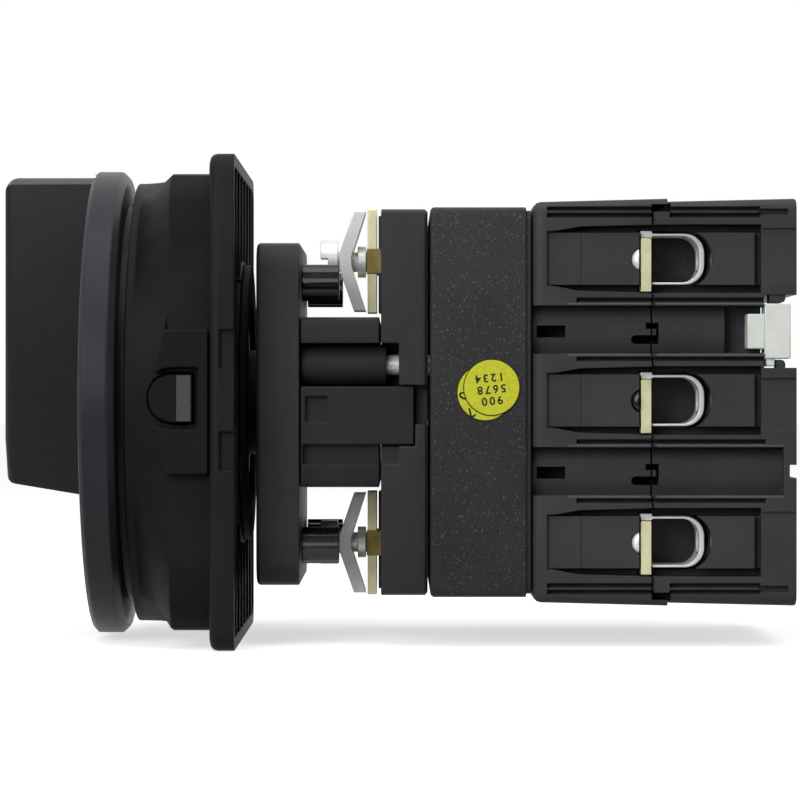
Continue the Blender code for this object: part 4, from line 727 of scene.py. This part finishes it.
def contact_base():
    """The front half of the contact block, with its bays, lanes and the carrier's well."""
    first = BASE_FRONT + BAY_FRONT_WALL
    rear = BASE_REAR + THROUGH
    outer = WALL + THROUGH
    radius, deep = BAR_RELIEF
    bays = []
    steps = []
    gutters = []
    reliefs = []
    bars = []
    for height in POLE_HEIGHTS:
        low, high = (height - BAY_HALF, height + BAY_HALF)
        bays += side_slots(low, high, BAY_DEEP, first, rear)
        steps += side_slots(low, high, BAY_DEEP + STEP[1], first + STEP[0], rear)
        for lift in (1, -1):
            edge = height + lift * GUTTER_START
            knee = (first + GUTTER_KNEE[0], edge + lift * GUTTER_KNEE[1])
            outline = [(first, edge), knee, (rear, edge + lift * GUTTER_WIDE), (rear, edge)]
            gutters += side_shapes(outline, GUTTER_DEEP)
        place = (BAR_FRONT + DOME_PLACE[0], height + DOME_PLACE[1])
        foot, top = (height + level for level in BAR_SLOT)
        for sign in SIGNS.values():
            relief = rod("y", sign * (WALL - deep), sign * outer, place, radius, segments=DOME_SEGMENTS)
            reliefs.append(relief)
            wall = sorted((sign * outer, sign * (WELL_DEPTH - THROUGH)))
            bars.append(slab((BAR_FRONT - SEAT, wall[0], foot), (rear, wall[1], top)))
    lanes = []
    slots = []
    crevices = []
    start, end, half = LANE_SLOT
    for height in LANE_HEIGHTS:
        low, high = (height - half - SEAT, height + half - SEAT)
        lanes += lane_cuts(height, BASE_FRONT - THROUGH, rear)
        slots += side_slots(low, high, CREVICE_DEEP, BASE_FRONT + start, BASE_FRONT + end)
        crevices += latch_crevices(height)
    well = slab(
        (BASE_FRONT + WELL_WALL, -WELL_DEPTH, -WELL_HALF), (BASE_REAR + 2 * THROUGH, WELL_DEPTH, WELL_HALF)
    )
    arm, radius = FOLLOWER
    hole_end = BASE_FRONT + WELL_WALL + THROUGH
    holes = [rod("x", BASE_FRONT - THROUGH, hole_end, (0, z), radius) for z in (arm, -arm)]
    under = BLOCK_TOP - LIP_DEEP
    below_lips = slab((BASE_REAR, -outer, -under), (BASE_REAR + LIP_LENGTH + THROUGH, outer, under))
    grooves = rail_grooves(first, BASE_FRONT + GROOVE_FRONT_WALL, rear, rear)
    return carved(
        block_half(BASE_FRONT, BASE_REAR + LIP_LENGTH, FRONT_ROUND, 0),
        *cuts([below_lips], bays, steps, gutters, reliefs, grooves),
        *cuts(lanes, slots, crevices, [well], bars, holes),
    )


def snap_hooks(height):
    """The two rounded hooks in the rear notch, above and below, on both sides."""
    end = COVER_REAR - SNAP_END
    hooks = []
    for lift, length in SNAP_HEADS.items():
        root = height + lift * (NOTCH_HALF + SEAT)
        tip = height + lift * (NOTCH_HALF - SNAP_RISE)
        bend = end - SNAP_ROUND
        nose = [(bend + SNAP_ROUND * part, tip + (root - tip) * share) for part, share in SNAP_NOSE]
        outline = [(end - length, root), (end, root), *nose, (bend, tip), (end - length, tip)]
        for sign in SIGNS.values():
            face = WALL - SEAT
            hooks.append(side_drawn(outline, sign * face, sign * (face - SNAP_DEEP)))
    return hooks


def contact_cover():
    """The rear half of the contact block, with a mouth for each cable and a bore for each clamp screw."""
    front = COVER_FRONT - THROUGH
    rear = COVER_REAR + THROUGH
    outer = WALL + THROUGH
    lip_end = BASE_REAR + LIP_LENGTH + SEAT
    lip_edge = BLOCK_TOP - LIP_DEEP
    upper, lower = LANE_HEIGHTS
    notch_front = COVER_REAR - NOTCH_LENGTH
    floor_end = COVER_REAR - BAY_REAR_WALL
    band_end = floor_end + GUTTER_REAR[0]
    lips = []
    pockets = []
    for lift, pole in ((1, POLE_HEIGHTS[0]), (-1, POLE_HEIGHTS[-1])):
        low, high = sorted((lift * (BLOCK_TOP + THROUGH), lift * (lip_edge - SEAT)))
        lips.append(slab((front, -outer, low), (lip_end, outer, high)))
        height, deep = LIP_POCKET
        low, high = sorted((lift * lip_edge, lift * (lip_edge - SEAT - height)))
        pockets += side_slots(low, high, deep, front, lip_end + SEAT)
        inset, length, deep = POCKET
        low, high = sorted((pole + lift * GROOVE_INNER, pole + lift * GROOVE_OUTER))
        pockets += side_slots(low, high, deep, COVER_REAR - inset - length, COVER_REAR - inset)
    bays = []
    bands = []
    rear_bands = []
    ends = []
    mouths = []
    bores = []
    turn = COVER_FRONT + MOUTH_LENGTH - MOUTH_HALF
    bore_front = COVER_FRONT + MOUTH_LENGTH - THROUGH
    for height in POLE_HEIGHTS:
        low, high = (height - BAY_HALF, height + BAY_HALF)
        bays += side_slots(low, high, BAY_DEEP, front, floor_end)
        rear_bands += side_slots(low, high, GUTTER_REAR[1], floor_end - SEAT, band_end)
        levels = []
        for lift in (1, -1):
            edge = height + lift * GUTTER_START
            bands += side_slots(*sorted((edge, edge + lift * GUTTER_WIDE)), GUTTER_DEEP, front, band_end)
            beside_notch = abs(height + lift * BAY_END_NARROW - upper) < BAY_END_HALF + BAY_END_NARROW
            levels.append(height + lift * (BAY_END_NARROW if beside_notch else BAY_END_HALF))
        ends += side_slots(*sorted(levels), BAY_END_DEEP, band_end - SEAT, rear)
        outline = [(front, height + MOUTH_HALF), (front, height - MOUTH_HALF)]
        mouths += side_shapes(outline + arc((turn, height), MOUTH_HALF, -90, 90, 20), MOUTH_DEEP)
        for sign in SIGNS.values():
            place = (sign * CLAMP_PLACE, height)
            bores.append(rod("x", bore_front, rear, place, BORE_RADIUS, segments=BORE_SEGMENTS))
    lane_end = COVER_REAR - LANE_REAR_WALL
    lanes = lane_cuts(upper, front, lane_end) + lane_cuts(lower, front, lane_end)
    length, half, deep = LANE_POCKET
    lane_pocket = side_slots(upper - half, upper + half, deep, notch_front - length, notch_front + SEAT)
    middle = upper + NOTCH_LIFT
    notch = slab((notch_front, -outer, middle - NOTCH_HALF), (rear, outer, middle + NOTCH_HALF))
    nick = slab((COVER_REAR - NICK[0], -outer, lower - NICK[1]), (rear, outer, lower + NICK[1]))
    width, deep = SEAM
    seam = side_slots(-BLOCK_TOP - THROUGH, BLOCK_TOP + THROUGH, deep, front, COVER_FRONT + width)
    grooves = rail_grooves(lip_end, front, COVER_REAR - GROOVE_REAR_WALL, notch_front + SEAT)
    crevices = latch_crevices(upper) + latch_crevices(lower)
    spring_bore = rod("x", front, SPRING_END + SEAT, (0, POLE_HEIGHTS[1]), SPRING_BORE)
    return carved(
        block_half(COVER_FRONT, COVER_REAR, 0, REAR_ROUND),
        *cuts(seam, lips, pockets, bays, bands, rear_bands, ends, grooves, lanes, lane_pocket, crevices),
        *cuts([notch], [nick]),
        ("UNION", snap_hooks(middle)),
        *cuts(bores, mouths, [spring_bore]),
    )


def lane_rims(start, upper_end, lower_end):
    """The thin round beads along the lanes of one half of the block."""
    beads = []
    for height, end in zip(LANE_HEIGHTS, (upper_end, lower_end)):
        for lift in (1, -1):
            level = height + lift * (LANE_HALF + RIM_RADIUS - RIM_PROUD)
            for sign in SIGNS.values():
                centre = (sign * (WALL - RIM_RADIUS + RIM_PROUD), level)
                beads.append(rod("x", start, end, centre, RIM_RADIUS, segments=RIM_SEGMENTS))
    return gathered(beads)


def end_plug():
    """The pale plug that closes the upper lane on the near side."""
    height = LANE_HEIGHTS[0] + NOTCH_LIFT
    outer = -WALL + SEAT
    inner = -WALL + PLUG_DEEP
    end = COVER_REAR - PLUG_INSET
    front = end - PLUG_LENGTH
    length, half = PLUG_NECK
    neck = slab((front - length, outer + SEAT, height - half), (front + SEAT, inner, height + half))
    ear = slab(
        (front + SEAT, outer + SEAT, height - PLUG_HALF - PLUG_EAR[1]),
        (front + SEAT + PLUG_EAR[0], inner - SEAT, height),
    )
    body = slab((front, outer, height - PLUG_HALF), (end, inner, height + PLUG_HALF))
    return carved(body, ("UNION", [neck]), ("UNION", [ear]))


def clamp_strap(height, sign):
    """The bent strap of a box terminal: its folded end above the bar, and its thicker bend at the rear."""
    end = BAR_FRONT + STRAP_LENGTH
    turn = end - STRAP_ROUND
    inner = STRAP_ROUND - STRAP_THICK
    inner_turn = end - STRAP_REAR - inner
    hook = STRAP_HALF - STRAP_ROUND
    outline = [
        (BAR_FRONT, STRAP_HOOK[0]),
        (BAR_FRONT, STRAP_HOOK[1]),
        (BASE_REAR + SEAT / 2, STRAP_HOOK[1]),
        (BASE_REAR + SEAT, STRAP_HALF),
        *arc((turn, hook), STRAP_ROUND, 90, 0, 8),
        *arc((turn, -hook), STRAP_ROUND, 0, -90, 8),
        (BASE_REAR + SEAT, -STRAP_HALF),
        (BASE_REAR + SEAT, STRAP_THICK - STRAP_HALF),
        *arc((inner_turn, -hook), inner, -90, 0, 8),
        *arc((inner_turn, hook), inner, 0, 90, 8),
        (BASE_REAR + SEAT, STRAP_HALF - STRAP_THICK),
        (BASE_REAR + SEAT / 2, STRAP_HOOK[0]),
    ]
    middle = sign * CLAMP_PLACE
    raised = [(x, height + z) for x, z in outline]
    bent = side_drawn(raised, middle - STRAP_WIDTH / 2, middle + STRAP_WIDTH / 2)
    return carved(bent, ("DIFFERENCE", [rod("x", turn, end + THROUGH, (middle, height), STRAP_HOLE)]))


def bay_dome(height, sign):
    """The rounded end of the moving arm's pin, which shows in front of a terminal bar."""
    place = (BAR_FRONT + DOME_PLACE[0], height + DOME_PLACE[1])
    outer, inner = (sign * (WALL - depth) for depth in DOME_DEPTH)
    bm = rod("y", outer, inner, place, DOME_RADIUS, segments=DOME_SEGMENTS)
    rim = [edge for edge in bm.edges if all(abs(vert.co.y - outer) < 0.01 for vert in edge.verts)]
    bmesh.ops.bevel(bm, geom=rim, offset=DOME_ROUND, segments=4, profile=0.5, affect="EDGES", material=-1)
    geom = [*bm.verts, *bm.edges, *bm.faces]
    cut = bmesh.ops.bisect_plane(
        bm, geom=geom, plane_co=(BAR_FRONT - DOME_CUT, 0, 0), plane_no=(1, 0, 0), clear_outer=True
    )["geom_cut"]
    bmesh.ops.holes_fill(bm, edges=[item for item in cut if isinstance(item, bmesh.types.BMEdge)])
    return bm


# Pieces

class SwitchOperator:
    """What the switch's operators share."""

    bl_options = {"REGISTER"}

    def execute(self, context):
        self.make(context.scene.switch_sizes)
        return {"FINISHED"}


class OBJECT_OT_switch_handle(SwitchOperator, bpy.types.Operator):
    """Handle grip, its disc, its screw and the padlock slide"""

    bl_idname = "object.switch_handle"
    bl_label = "Handle"

    def make(self, sizes):
        dress(["handle_grip"], "satin_polyamide_grip", sizes.edge)
        dress(["handle_disc"], "smooth_polyamide_disc", sizes.edge)
        dress(["padlock_slide"], "polished_polyamide", sizes.edge)
        dress(["handle_screw"], "zinc_plated_steel", sizes.metal_edge)


class OBJECT_OT_switch_lock_housing(SwitchOperator, bpy.types.Operator):
    """Lock housing and the release tabs in its cheeks"""

    bl_idname = "object.switch_lock_housing"
    bl_label = "Lock housing"

    def make(self, sizes):
        dress(["lock_housing"], "satin_polyamide_housing", sizes.edge)
        dress(each("release_tab", SIDES), "satin_polyamide_tab", sizes.edge)
        for side, sign in SIGNS.items():
            tab = f"release_tab_{side}"
            low, high = (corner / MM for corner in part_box(tab))
            face = low.y if sign < 0 else high.y
            depths = sorted((face + sign * STRIP_PROUD, face - sign * STRIP_PROUD))
            # A thin paler slab near the tab's end: painted sheen
            strip = slab(
                (high.x - STRIP_EDGE - STRIP_WIDE, depths[0], low.z + STRIP_EDGE),
                (high.x - STRIP_EDGE, depths[1], high.z - STRIP_EDGE),
            )
            beside(tab, "_strip", in_metres(strip), "sheen_polyamide_strip")


class OBJECT_OT_switch_plate(SwitchOperator, bpy.types.Operator):
    """Front plate and its panel seal"""

    bl_idname = "object.switch_plate"
    bl_label = "Front plate"

    def make(self, sizes):
        dress(["front_plate"], "satin_polyamide_plate", sizes.edge)
        dress(["panel_seal"], "seal_rubber")


class OBJECT_OT_switch_flange(SwitchOperator, bpy.types.Operator):
    """Mounting flange and the fluted caps on its rear"""

    bl_idname = "object.switch_flange"
    bl_label = "Flange and caps"

    def make(self, sizes):
        dress(["mounting_flange"], "grained_polyamide_frame", sizes.edge)
        dress(each("screw_cap", LEVELS, SIDES), "polished_polyamide", sizes.edge)


class OBJECT_OT_switch_neck(SwitchOperator, bpy.types.Operator):
    """Neck frame, tie screws and detent housing"""

    bl_idname = "object.switch_neck"
    bl_label = "Neck"

    def make(self, sizes):
        dress(["neck_frame"], "grained_polyamide_neck", sizes.edge)
        dress(["detent_housing"], "grained_polyamide_frame", sizes.edge)
        dress(each("tie_screw", SIDES), "zinc_plated_steel", sizes.metal_edge)


class OBJECT_OT_switch_saddles(SwitchOperator, bpy.types.Operator):
    """Saddle clamps: brass bars, bent zinc plates and slotted screws"""

    bl_idname = "object.switch_saddles"
    bl_label = "Saddle clamps"

    def make(self, sizes):
        dress(each("saddle_bar", LEVELS), "stamped_brass", sizes.metal_edge)
        dress(each("saddle_clamp", LEVELS), "zinc_plated_steel", sizes.metal_edge)
        dress(each("saddle_screw", LEVELS), "zinc_plated_steel", sizes.metal_edge)
        for bar in each("saddle_bar", LEVELS):
            low, high = (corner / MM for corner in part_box(bar))
            middle = (low.z + high.z) / 2
            front, rear = NUT_REACH
            nut = slab(
                (low.x - front, low.y - NUT_PROUD, middle - NUT_HALF),
                (high.x + rear, low.y + NUT_DEEP, middle + NUT_HALF),
            )
            rounded(beside(bar, "_nut", in_metres(nut), "tarnished_brass"), sizes.metal_edge)


class OBJECT_OT_switch_cam_housing(SwitchOperator, bpy.types.Operator):
    """Cam housing"""

    bl_idname = "object.switch_cam_housing"
    bl_label = "Cam housing"

    def make(self, sizes):
        dress(["cam_housing"], "sparked_polyamide_cam", sizes.edge)


class OBJECT_OT_switch_labels(SwitchOperator, bpy.types.Operator):
    """Two round labels stuck one over the other"""

    bl_idname = "object.switch_labels"
    bl_label = "Labels"

    def make(self, sizes):
        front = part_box("cam_housing")[0].y / MM
        radius = sizes.label_diameter / 2 / MM
        thick = sizes.label_thickness / MM
        for layer, (name, x, z) in enumerate(LABELS):
            back = front - layer * thick * LABEL_STEP
            # Under each label a slightly wider dark disc, painted shadow round the label's edge
            glue = rod("y", back, back - thick / 2, (x, z), radius + LABEL_SHADOW_WIDTH, segments=LABEL_SEGMENTS)
            new_piece(name + "_shadow_ring", in_metres(glue), "label_shadow_ring", "switch_body")
            paper = rod("y", back, back - thick, (x, z), radius, segments=LABEL_SEGMENTS)
            rounded(new_piece(name, in_metres(paper), "label_paper", "switch_body"), thick * MM / 3)
        for number, (text, size, x, z, turn, layer) in enumerate(LABEL_PRINT):
            face = front - layer * thick * LABEL_STEP - thick
            digits = in_metres(lettering(text, size, x, z, turn, face))
            new_piece(f"label_print_{number}", digits, "label_ink", "switch_body")


class OBJECT_OT_switch_block(SwitchOperator, bpy.types.Operator):
    """Contact block's base and cover, and its end plug"""

    bl_idname = "object.switch_block"
    bl_label = "Contact block"

    def make(self, sizes):
        stand_in("contact_base", in_metres(contact_base()), "grained_polyamide_block")
        stand_in("contact_cover", in_metres(contact_cover()), "grained_polyamide_block")
        rounded(stand_in("end_plug", in_metres(end_plug()), "natural_nylon"), sizes.edge)
        # Thin beads along the lanes, in a paler finish that is a painted highlight on the rail edges
        base_rims = lane_rims(BASE_FRONT + RIM_START, BASE_REAR - SEAT, BASE_REAR - SEAT)
        cover_rims = lane_rims(COVER_FRONT + 2 * SEAT, COVER_REAR - NOTCH_LENGTH, COVER_REAR - LANE_REAR_WALL)
        beside("contact_base", "_rims", in_metres(base_rims), "highlight_polyamide_rim")
        beside("contact_cover", "_rims", in_metres(cover_rims), "highlight_polyamide_rim")


class OBJECT_OT_switch_terminals(SwitchOperator, bpy.types.Operator):
    """Terminal bars, clamp straps and clamp screws"""

    bl_idname = "object.switch_terminals"
    bl_label = "Terminals"

    def make(self, sizes):
        dress(each("terminal_bar", POLES, SIDES), "stamped_brass", sizes.metal_edge)
        for pole, height in zip(POLES, POLE_HEIGHTS):
            for side, sign in SIGNS.items():
                strap = f"clamp_strap_{pole}_{side}"
                bent = in_metres(clamp_strap(height, sign))
                rounded(stand_in(strap, bent, "zinc_plated_steel"), sizes.metal_edge)
                screw = f"clamp_screw_{pole}_{side}"
                bm = merged_copy(screw)
                tip = min(vert.co.x for vert in bm.verts)
                for vert in bm.verts:
                    if vert.co.x < tip + SCREW_BACK * MM:
                        vert.co.x += SCREW_BACK * MM
                stand_in(screw, bm, "zinc_plated_steel")
                dome = in_metres(bay_dome(height, sign))
                dome_finish = "polished_polyamide" if pole == DARK_DOME else "zinc_plated_steel"
                new_piece(f"bay_dome_{pole}_{side}", dome, dome_finish, "switch_body")


class OBJECT_OT_switch_works(SwitchOperator, bpy.types.Operator):
    """Drive shaft, detent, cam, contact carrier, bridges and springs"""

    bl_idname = "object.switch_works"
    bl_label = "Works"

    def make(self, sizes):
        dress(["drive_shaft", "detent_plunger", "detent_spring"], "drawn_steel")
        coil = new_piece(
            "return_spring_shell", merged_copy("return_spring"), "drawn_steel", None
        )
        low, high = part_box("return_spring")
        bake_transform(coil, BODIES["contact_carrier"], BODIES["return_spring"], low, (high.x, low.y, low.z))
        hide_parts("return_spring")
        dress(each("contact_spring", POLES), "drawn_steel")
        dress(each("contact_bridge", POLES), "stamped_brass")
        dress(["detent_wheel", "face_cam", "contact_carrier"], "natural_nylon")


# Stage, in metres and watts

WHITE = (1, 1, 1, 1)
LAMPS = {  # place, aim, width, height, power
    "overhead_box": ((0.05, -0.25, 0.75), (0.03, 0, 0), 0.9, 0.7, 3.4),
    "front_box": ((-0.35, -0.75, 0.25), (0.03, 0, 0), 0.5, 0.5, 3.8),
}
SOFT_LIGHT = 0.35
FRONT_SHADE = {"From Min": -0.9, "From Max": -0.1, "To Min": 0.8, "To Max": 0.0}
FLOOR_SIZE = 6
FLOOR_DROP = 0.05 * MM
FLOOR_LIFT = 0.62
FLOOR_BOUNCE = (0.1, 0.1, 0.1, 1)
FLOOR_MIRROR = (0.05, 0.05, 0.05, 1)
FLOOR_TURN = {"From Min": -0.2, "From Max": 0.02}
CAMERA_PLACE = (0.0299, -0.7, 0.0004)
CAMERA_SENSOR = 36
CAMERA_LENS = 163.8
CAMERA_CLIP = 0.05


def area_lamp(name, place, aim, width, height, power):
    """A soft box at a place, aimed at a point."""
    lamp = bpy.data.lights.new(name, "AREA")
    lamp.shape = "RECTANGLE"
    lamp.size = width
    lamp.size_y = height
    lamp.energy = power
    made = bpy.data.objects.new(name, lamp)
    made.location = place
    made.rotation_euler = (Vector(aim) - Vector(place)).to_track_quat("-Z", "Y").to_euler()
    bpy.context.scene.collection.objects.link(made)


def seen_rays(tree, behind):
    """1 for rays from the camera or through clear pieces, and for glossy rays as far as they run behind."""
    path = add_node(tree, "ShaderNodeLightPath").outputs
    straight = {0: path["Is Camera Ray"], 1: path["Is Transmission Ray"]}
    direct = add_node(tree, "ShaderNodeMath", straight, operation="MAXIMUM")
    glossy = add_node(tree, "ShaderNodeMath", {0: path["Is Glossy Ray"], 1: behind}, operation="MULTIPLY")
    return add_node(tree, "ShaderNodeMath", {0: direct, 1: glossy}, operation="MAXIMUM")


def studio_world():
    """White to the camera; to gloss, white behind and darker in front; soft light elsewhere."""
    world = bpy.data.worlds.new("Studio")
    bpy.context.scene.world = world
    world.use_nodes = True
    tree = world.node_tree
    tree.nodes.clear()
    place = add_node(tree, "ShaderNodeTexCoord").outputs["Generated"]
    towards = add_node(tree, "ShaderNodeSeparateXYZ", {"Vector": place}).outputs["Y"]
    glossy = add_node(tree, "ShaderNodeLightPath").outputs["Is Glossy Ray"]
    shade = add_node(tree, "ShaderNodeMapRange", {"Value": towards, **FRONT_SHADE})
    dark = add_node(tree, "ShaderNodeMath", {0: glossy, 1: shade}, operation="MULTIPLY")
    bright = add_node(tree, "ShaderNodeMath", {0: 1, 1: dark}, operation="SUBTRACT")
    soft = add_node(tree, "ShaderNodeBackground", {"Color": WHITE, "Strength": SOFT_LIGHT})
    seen = add_node(tree, "ShaderNodeBackground", {"Color": WHITE, "Strength": bright})
    mix = add_node(tree, "ShaderNodeMixShader", {0: seen_rays(tree, 1), 1: soft, 2: seen})
    add_node(tree, "ShaderNodeOutputWorld", {"Surface": mix})


def floor_material(colours):
    """Pale painted floor: lifted to white for the camera, shadow and all, and dark to gloss in front."""
    values = {"Roughness": 0.9, "Specular IOR Level": 0.0}
    material, tree, shader, place = new_material("pale_studio_floor", values)
    mottle = add_node(tree, "ShaderNodeTexNoise", {"Vector": place, "Scale": 1 / (MOTTLE * MM)})
    tone = toned(tree, mottle, *SPAN, scaled(colours.floor, 0.99), colours.floor[:])
    feed(tree, shader, {"Base Color": tone})
    lifted = add_node(tree, "ShaderNodeEmission", {"Color": WHITE, "Strength": FLOOR_LIFT})
    both = add_node(tree, "ShaderNodeAddShader", {0: shader, 1: lifted})
    bounce = add_node(tree, "ShaderNodeBsdfDiffuse", {"Color": FLOOR_BOUNCE})
    mirrored = add_node(tree, "ShaderNodeEmission", {"Color": FLOOR_MIRROR, "Strength": 1.0})
    towards = add_node(tree, "ShaderNodeSeparateXYZ", {"Vector": place}).outputs["Y"]
    glossy = add_node(tree, "ShaderNodeLightPath").outputs["Is Glossy Ray"]
    behind = add_node(tree, "ShaderNodeMapRange", {"Value": towards, **FLOOR_TURN})
    before = add_node(
        tree, "ShaderNodeMapRange", {"Value": towards, **FLOOR_TURN, "To Min": 1.0, "To Max": 0.0}
    )
    in_front = add_node(tree, "ShaderNodeMath", {0: glossy, 1: before}, operation="MULTIPLY")
    plain = add_node(tree, "ShaderNodeMixShader", {0: in_front, 1: bounce, 2: mirrored})
    mix = add_node(tree, "ShaderNodeMixShader", {0: seen_rays(tree, behind), 1: plain, 2: both})
    feed(tree, next(node for node in tree.nodes if node.type == "OUTPUT_MATERIAL"), {"Surface": mix})
    return material


class OBJECT_OT_switch_stage(bpy.types.Operator):
    """Pale floor, white surroundings, soft lamps and the camera"""

    bl_idname = "object.switch_stage"
    bl_label = "Stage"

    def execute(self, context):
        scene = context.scene
        scene.view_settings.view_transform = "Standard"
        bm = bmesh.new()
        bmesh.ops.create_grid(bm, x_segments=1, y_segments=1, size=FLOOR_SIZE)
        bmesh.ops.translate(bm, verts=bm.verts, vec=(0, 0, CAD_BOX[0].z - FLOOR_DROP))
        mesh = bpy.data.meshes.new("floor")
        bm.to_mesh(mesh)
        bm.free()
        mesh.materials.append(floor_material(scene.switch_colours))
        floor = bpy.data.objects.new("floor", mesh)
        scene.collection.objects.link(floor)
        studio_world()
        for name, values in LAMPS.items():
            area_lamp(name, *values)
        camera = bpy.data.cameras.new("photo_camera")
        camera.sensor_fit = "HORIZONTAL"
        camera.sensor_width = CAMERA_SENSOR
        camera.lens = CAMERA_LENS
        camera.clip_start = CAMERA_CLIP
        view = bpy.data.objects.new("photo_camera", camera)
        view.location = CAMERA_PLACE
        view.rotation_euler = (math.radians(90), 0, 0)
        scene.collection.objects.link(view)
        scene.camera = view
        return {"FINISHED"}


class VIEW3D_PT_switch(bpy.types.Panel):
    """Lists what the add-on makes, and the sizes and colours it makes it in"""

    bl_label = "Main isolator switch"
    bl_space_type = "VIEW_3D"
    bl_region_type = "UI"
    bl_category = "Isolator"

    def draw(self, context):
        for group in (context.scene.switch_sizes, context.scene.switch_colours):
            box = self.layout.box()
            for key in group.__annotations__:
                box.prop(group, key)
        for operator in OPERATORS:
            self.layout.operator(operator.bl_idname)


OPERATORS = (
    OBJECT_OT_switch_stage,
    OBJECT_OT_switch_handle,
    OBJECT_OT_switch_lock_housing,
    OBJECT_OT_switch_plate,
    OBJECT_OT_switch_flange,
    OBJECT_OT_switch_neck,
    OBJECT_OT_switch_saddles,
    OBJECT_OT_switch_cam_housing,
    OBJECT_OT_switch_labels,
    OBJECT_OT_switch_block,
    OBJECT_OT_switch_terminals,
    OBJECT_OT_switch_works,
)
CLASSES = (SwitchColours, SwitchSizes, *OPERATORS, VIEW3D_PT_switch)


def register():
    """Registers the classes and gives each scene its colours and sizes."""
    for one in CLASSES:
        bpy.utils.register_class(one)
    bpy.types.Scene.switch_colours = bpy.props.PointerProperty(type=SwitchColours)
    bpy.types.Scene.switch_sizes = bpy.props.PointerProperty(type=SwitchSizes)


def unregister():
    """Undoes register."""
    del bpy.types.Scene.switch_sizes
    del bpy.types.Scene.switch_colours
    for one in reversed(CLASSES):
        bpy.utils.unregister_class(one)


def main():
    register()
    for operator in OPERATORS:
        group, name = operator.bl_idname.split(".")
        getattr(getattr(bpy.ops, group), name)()


if __name__ == "__main__":
    main()
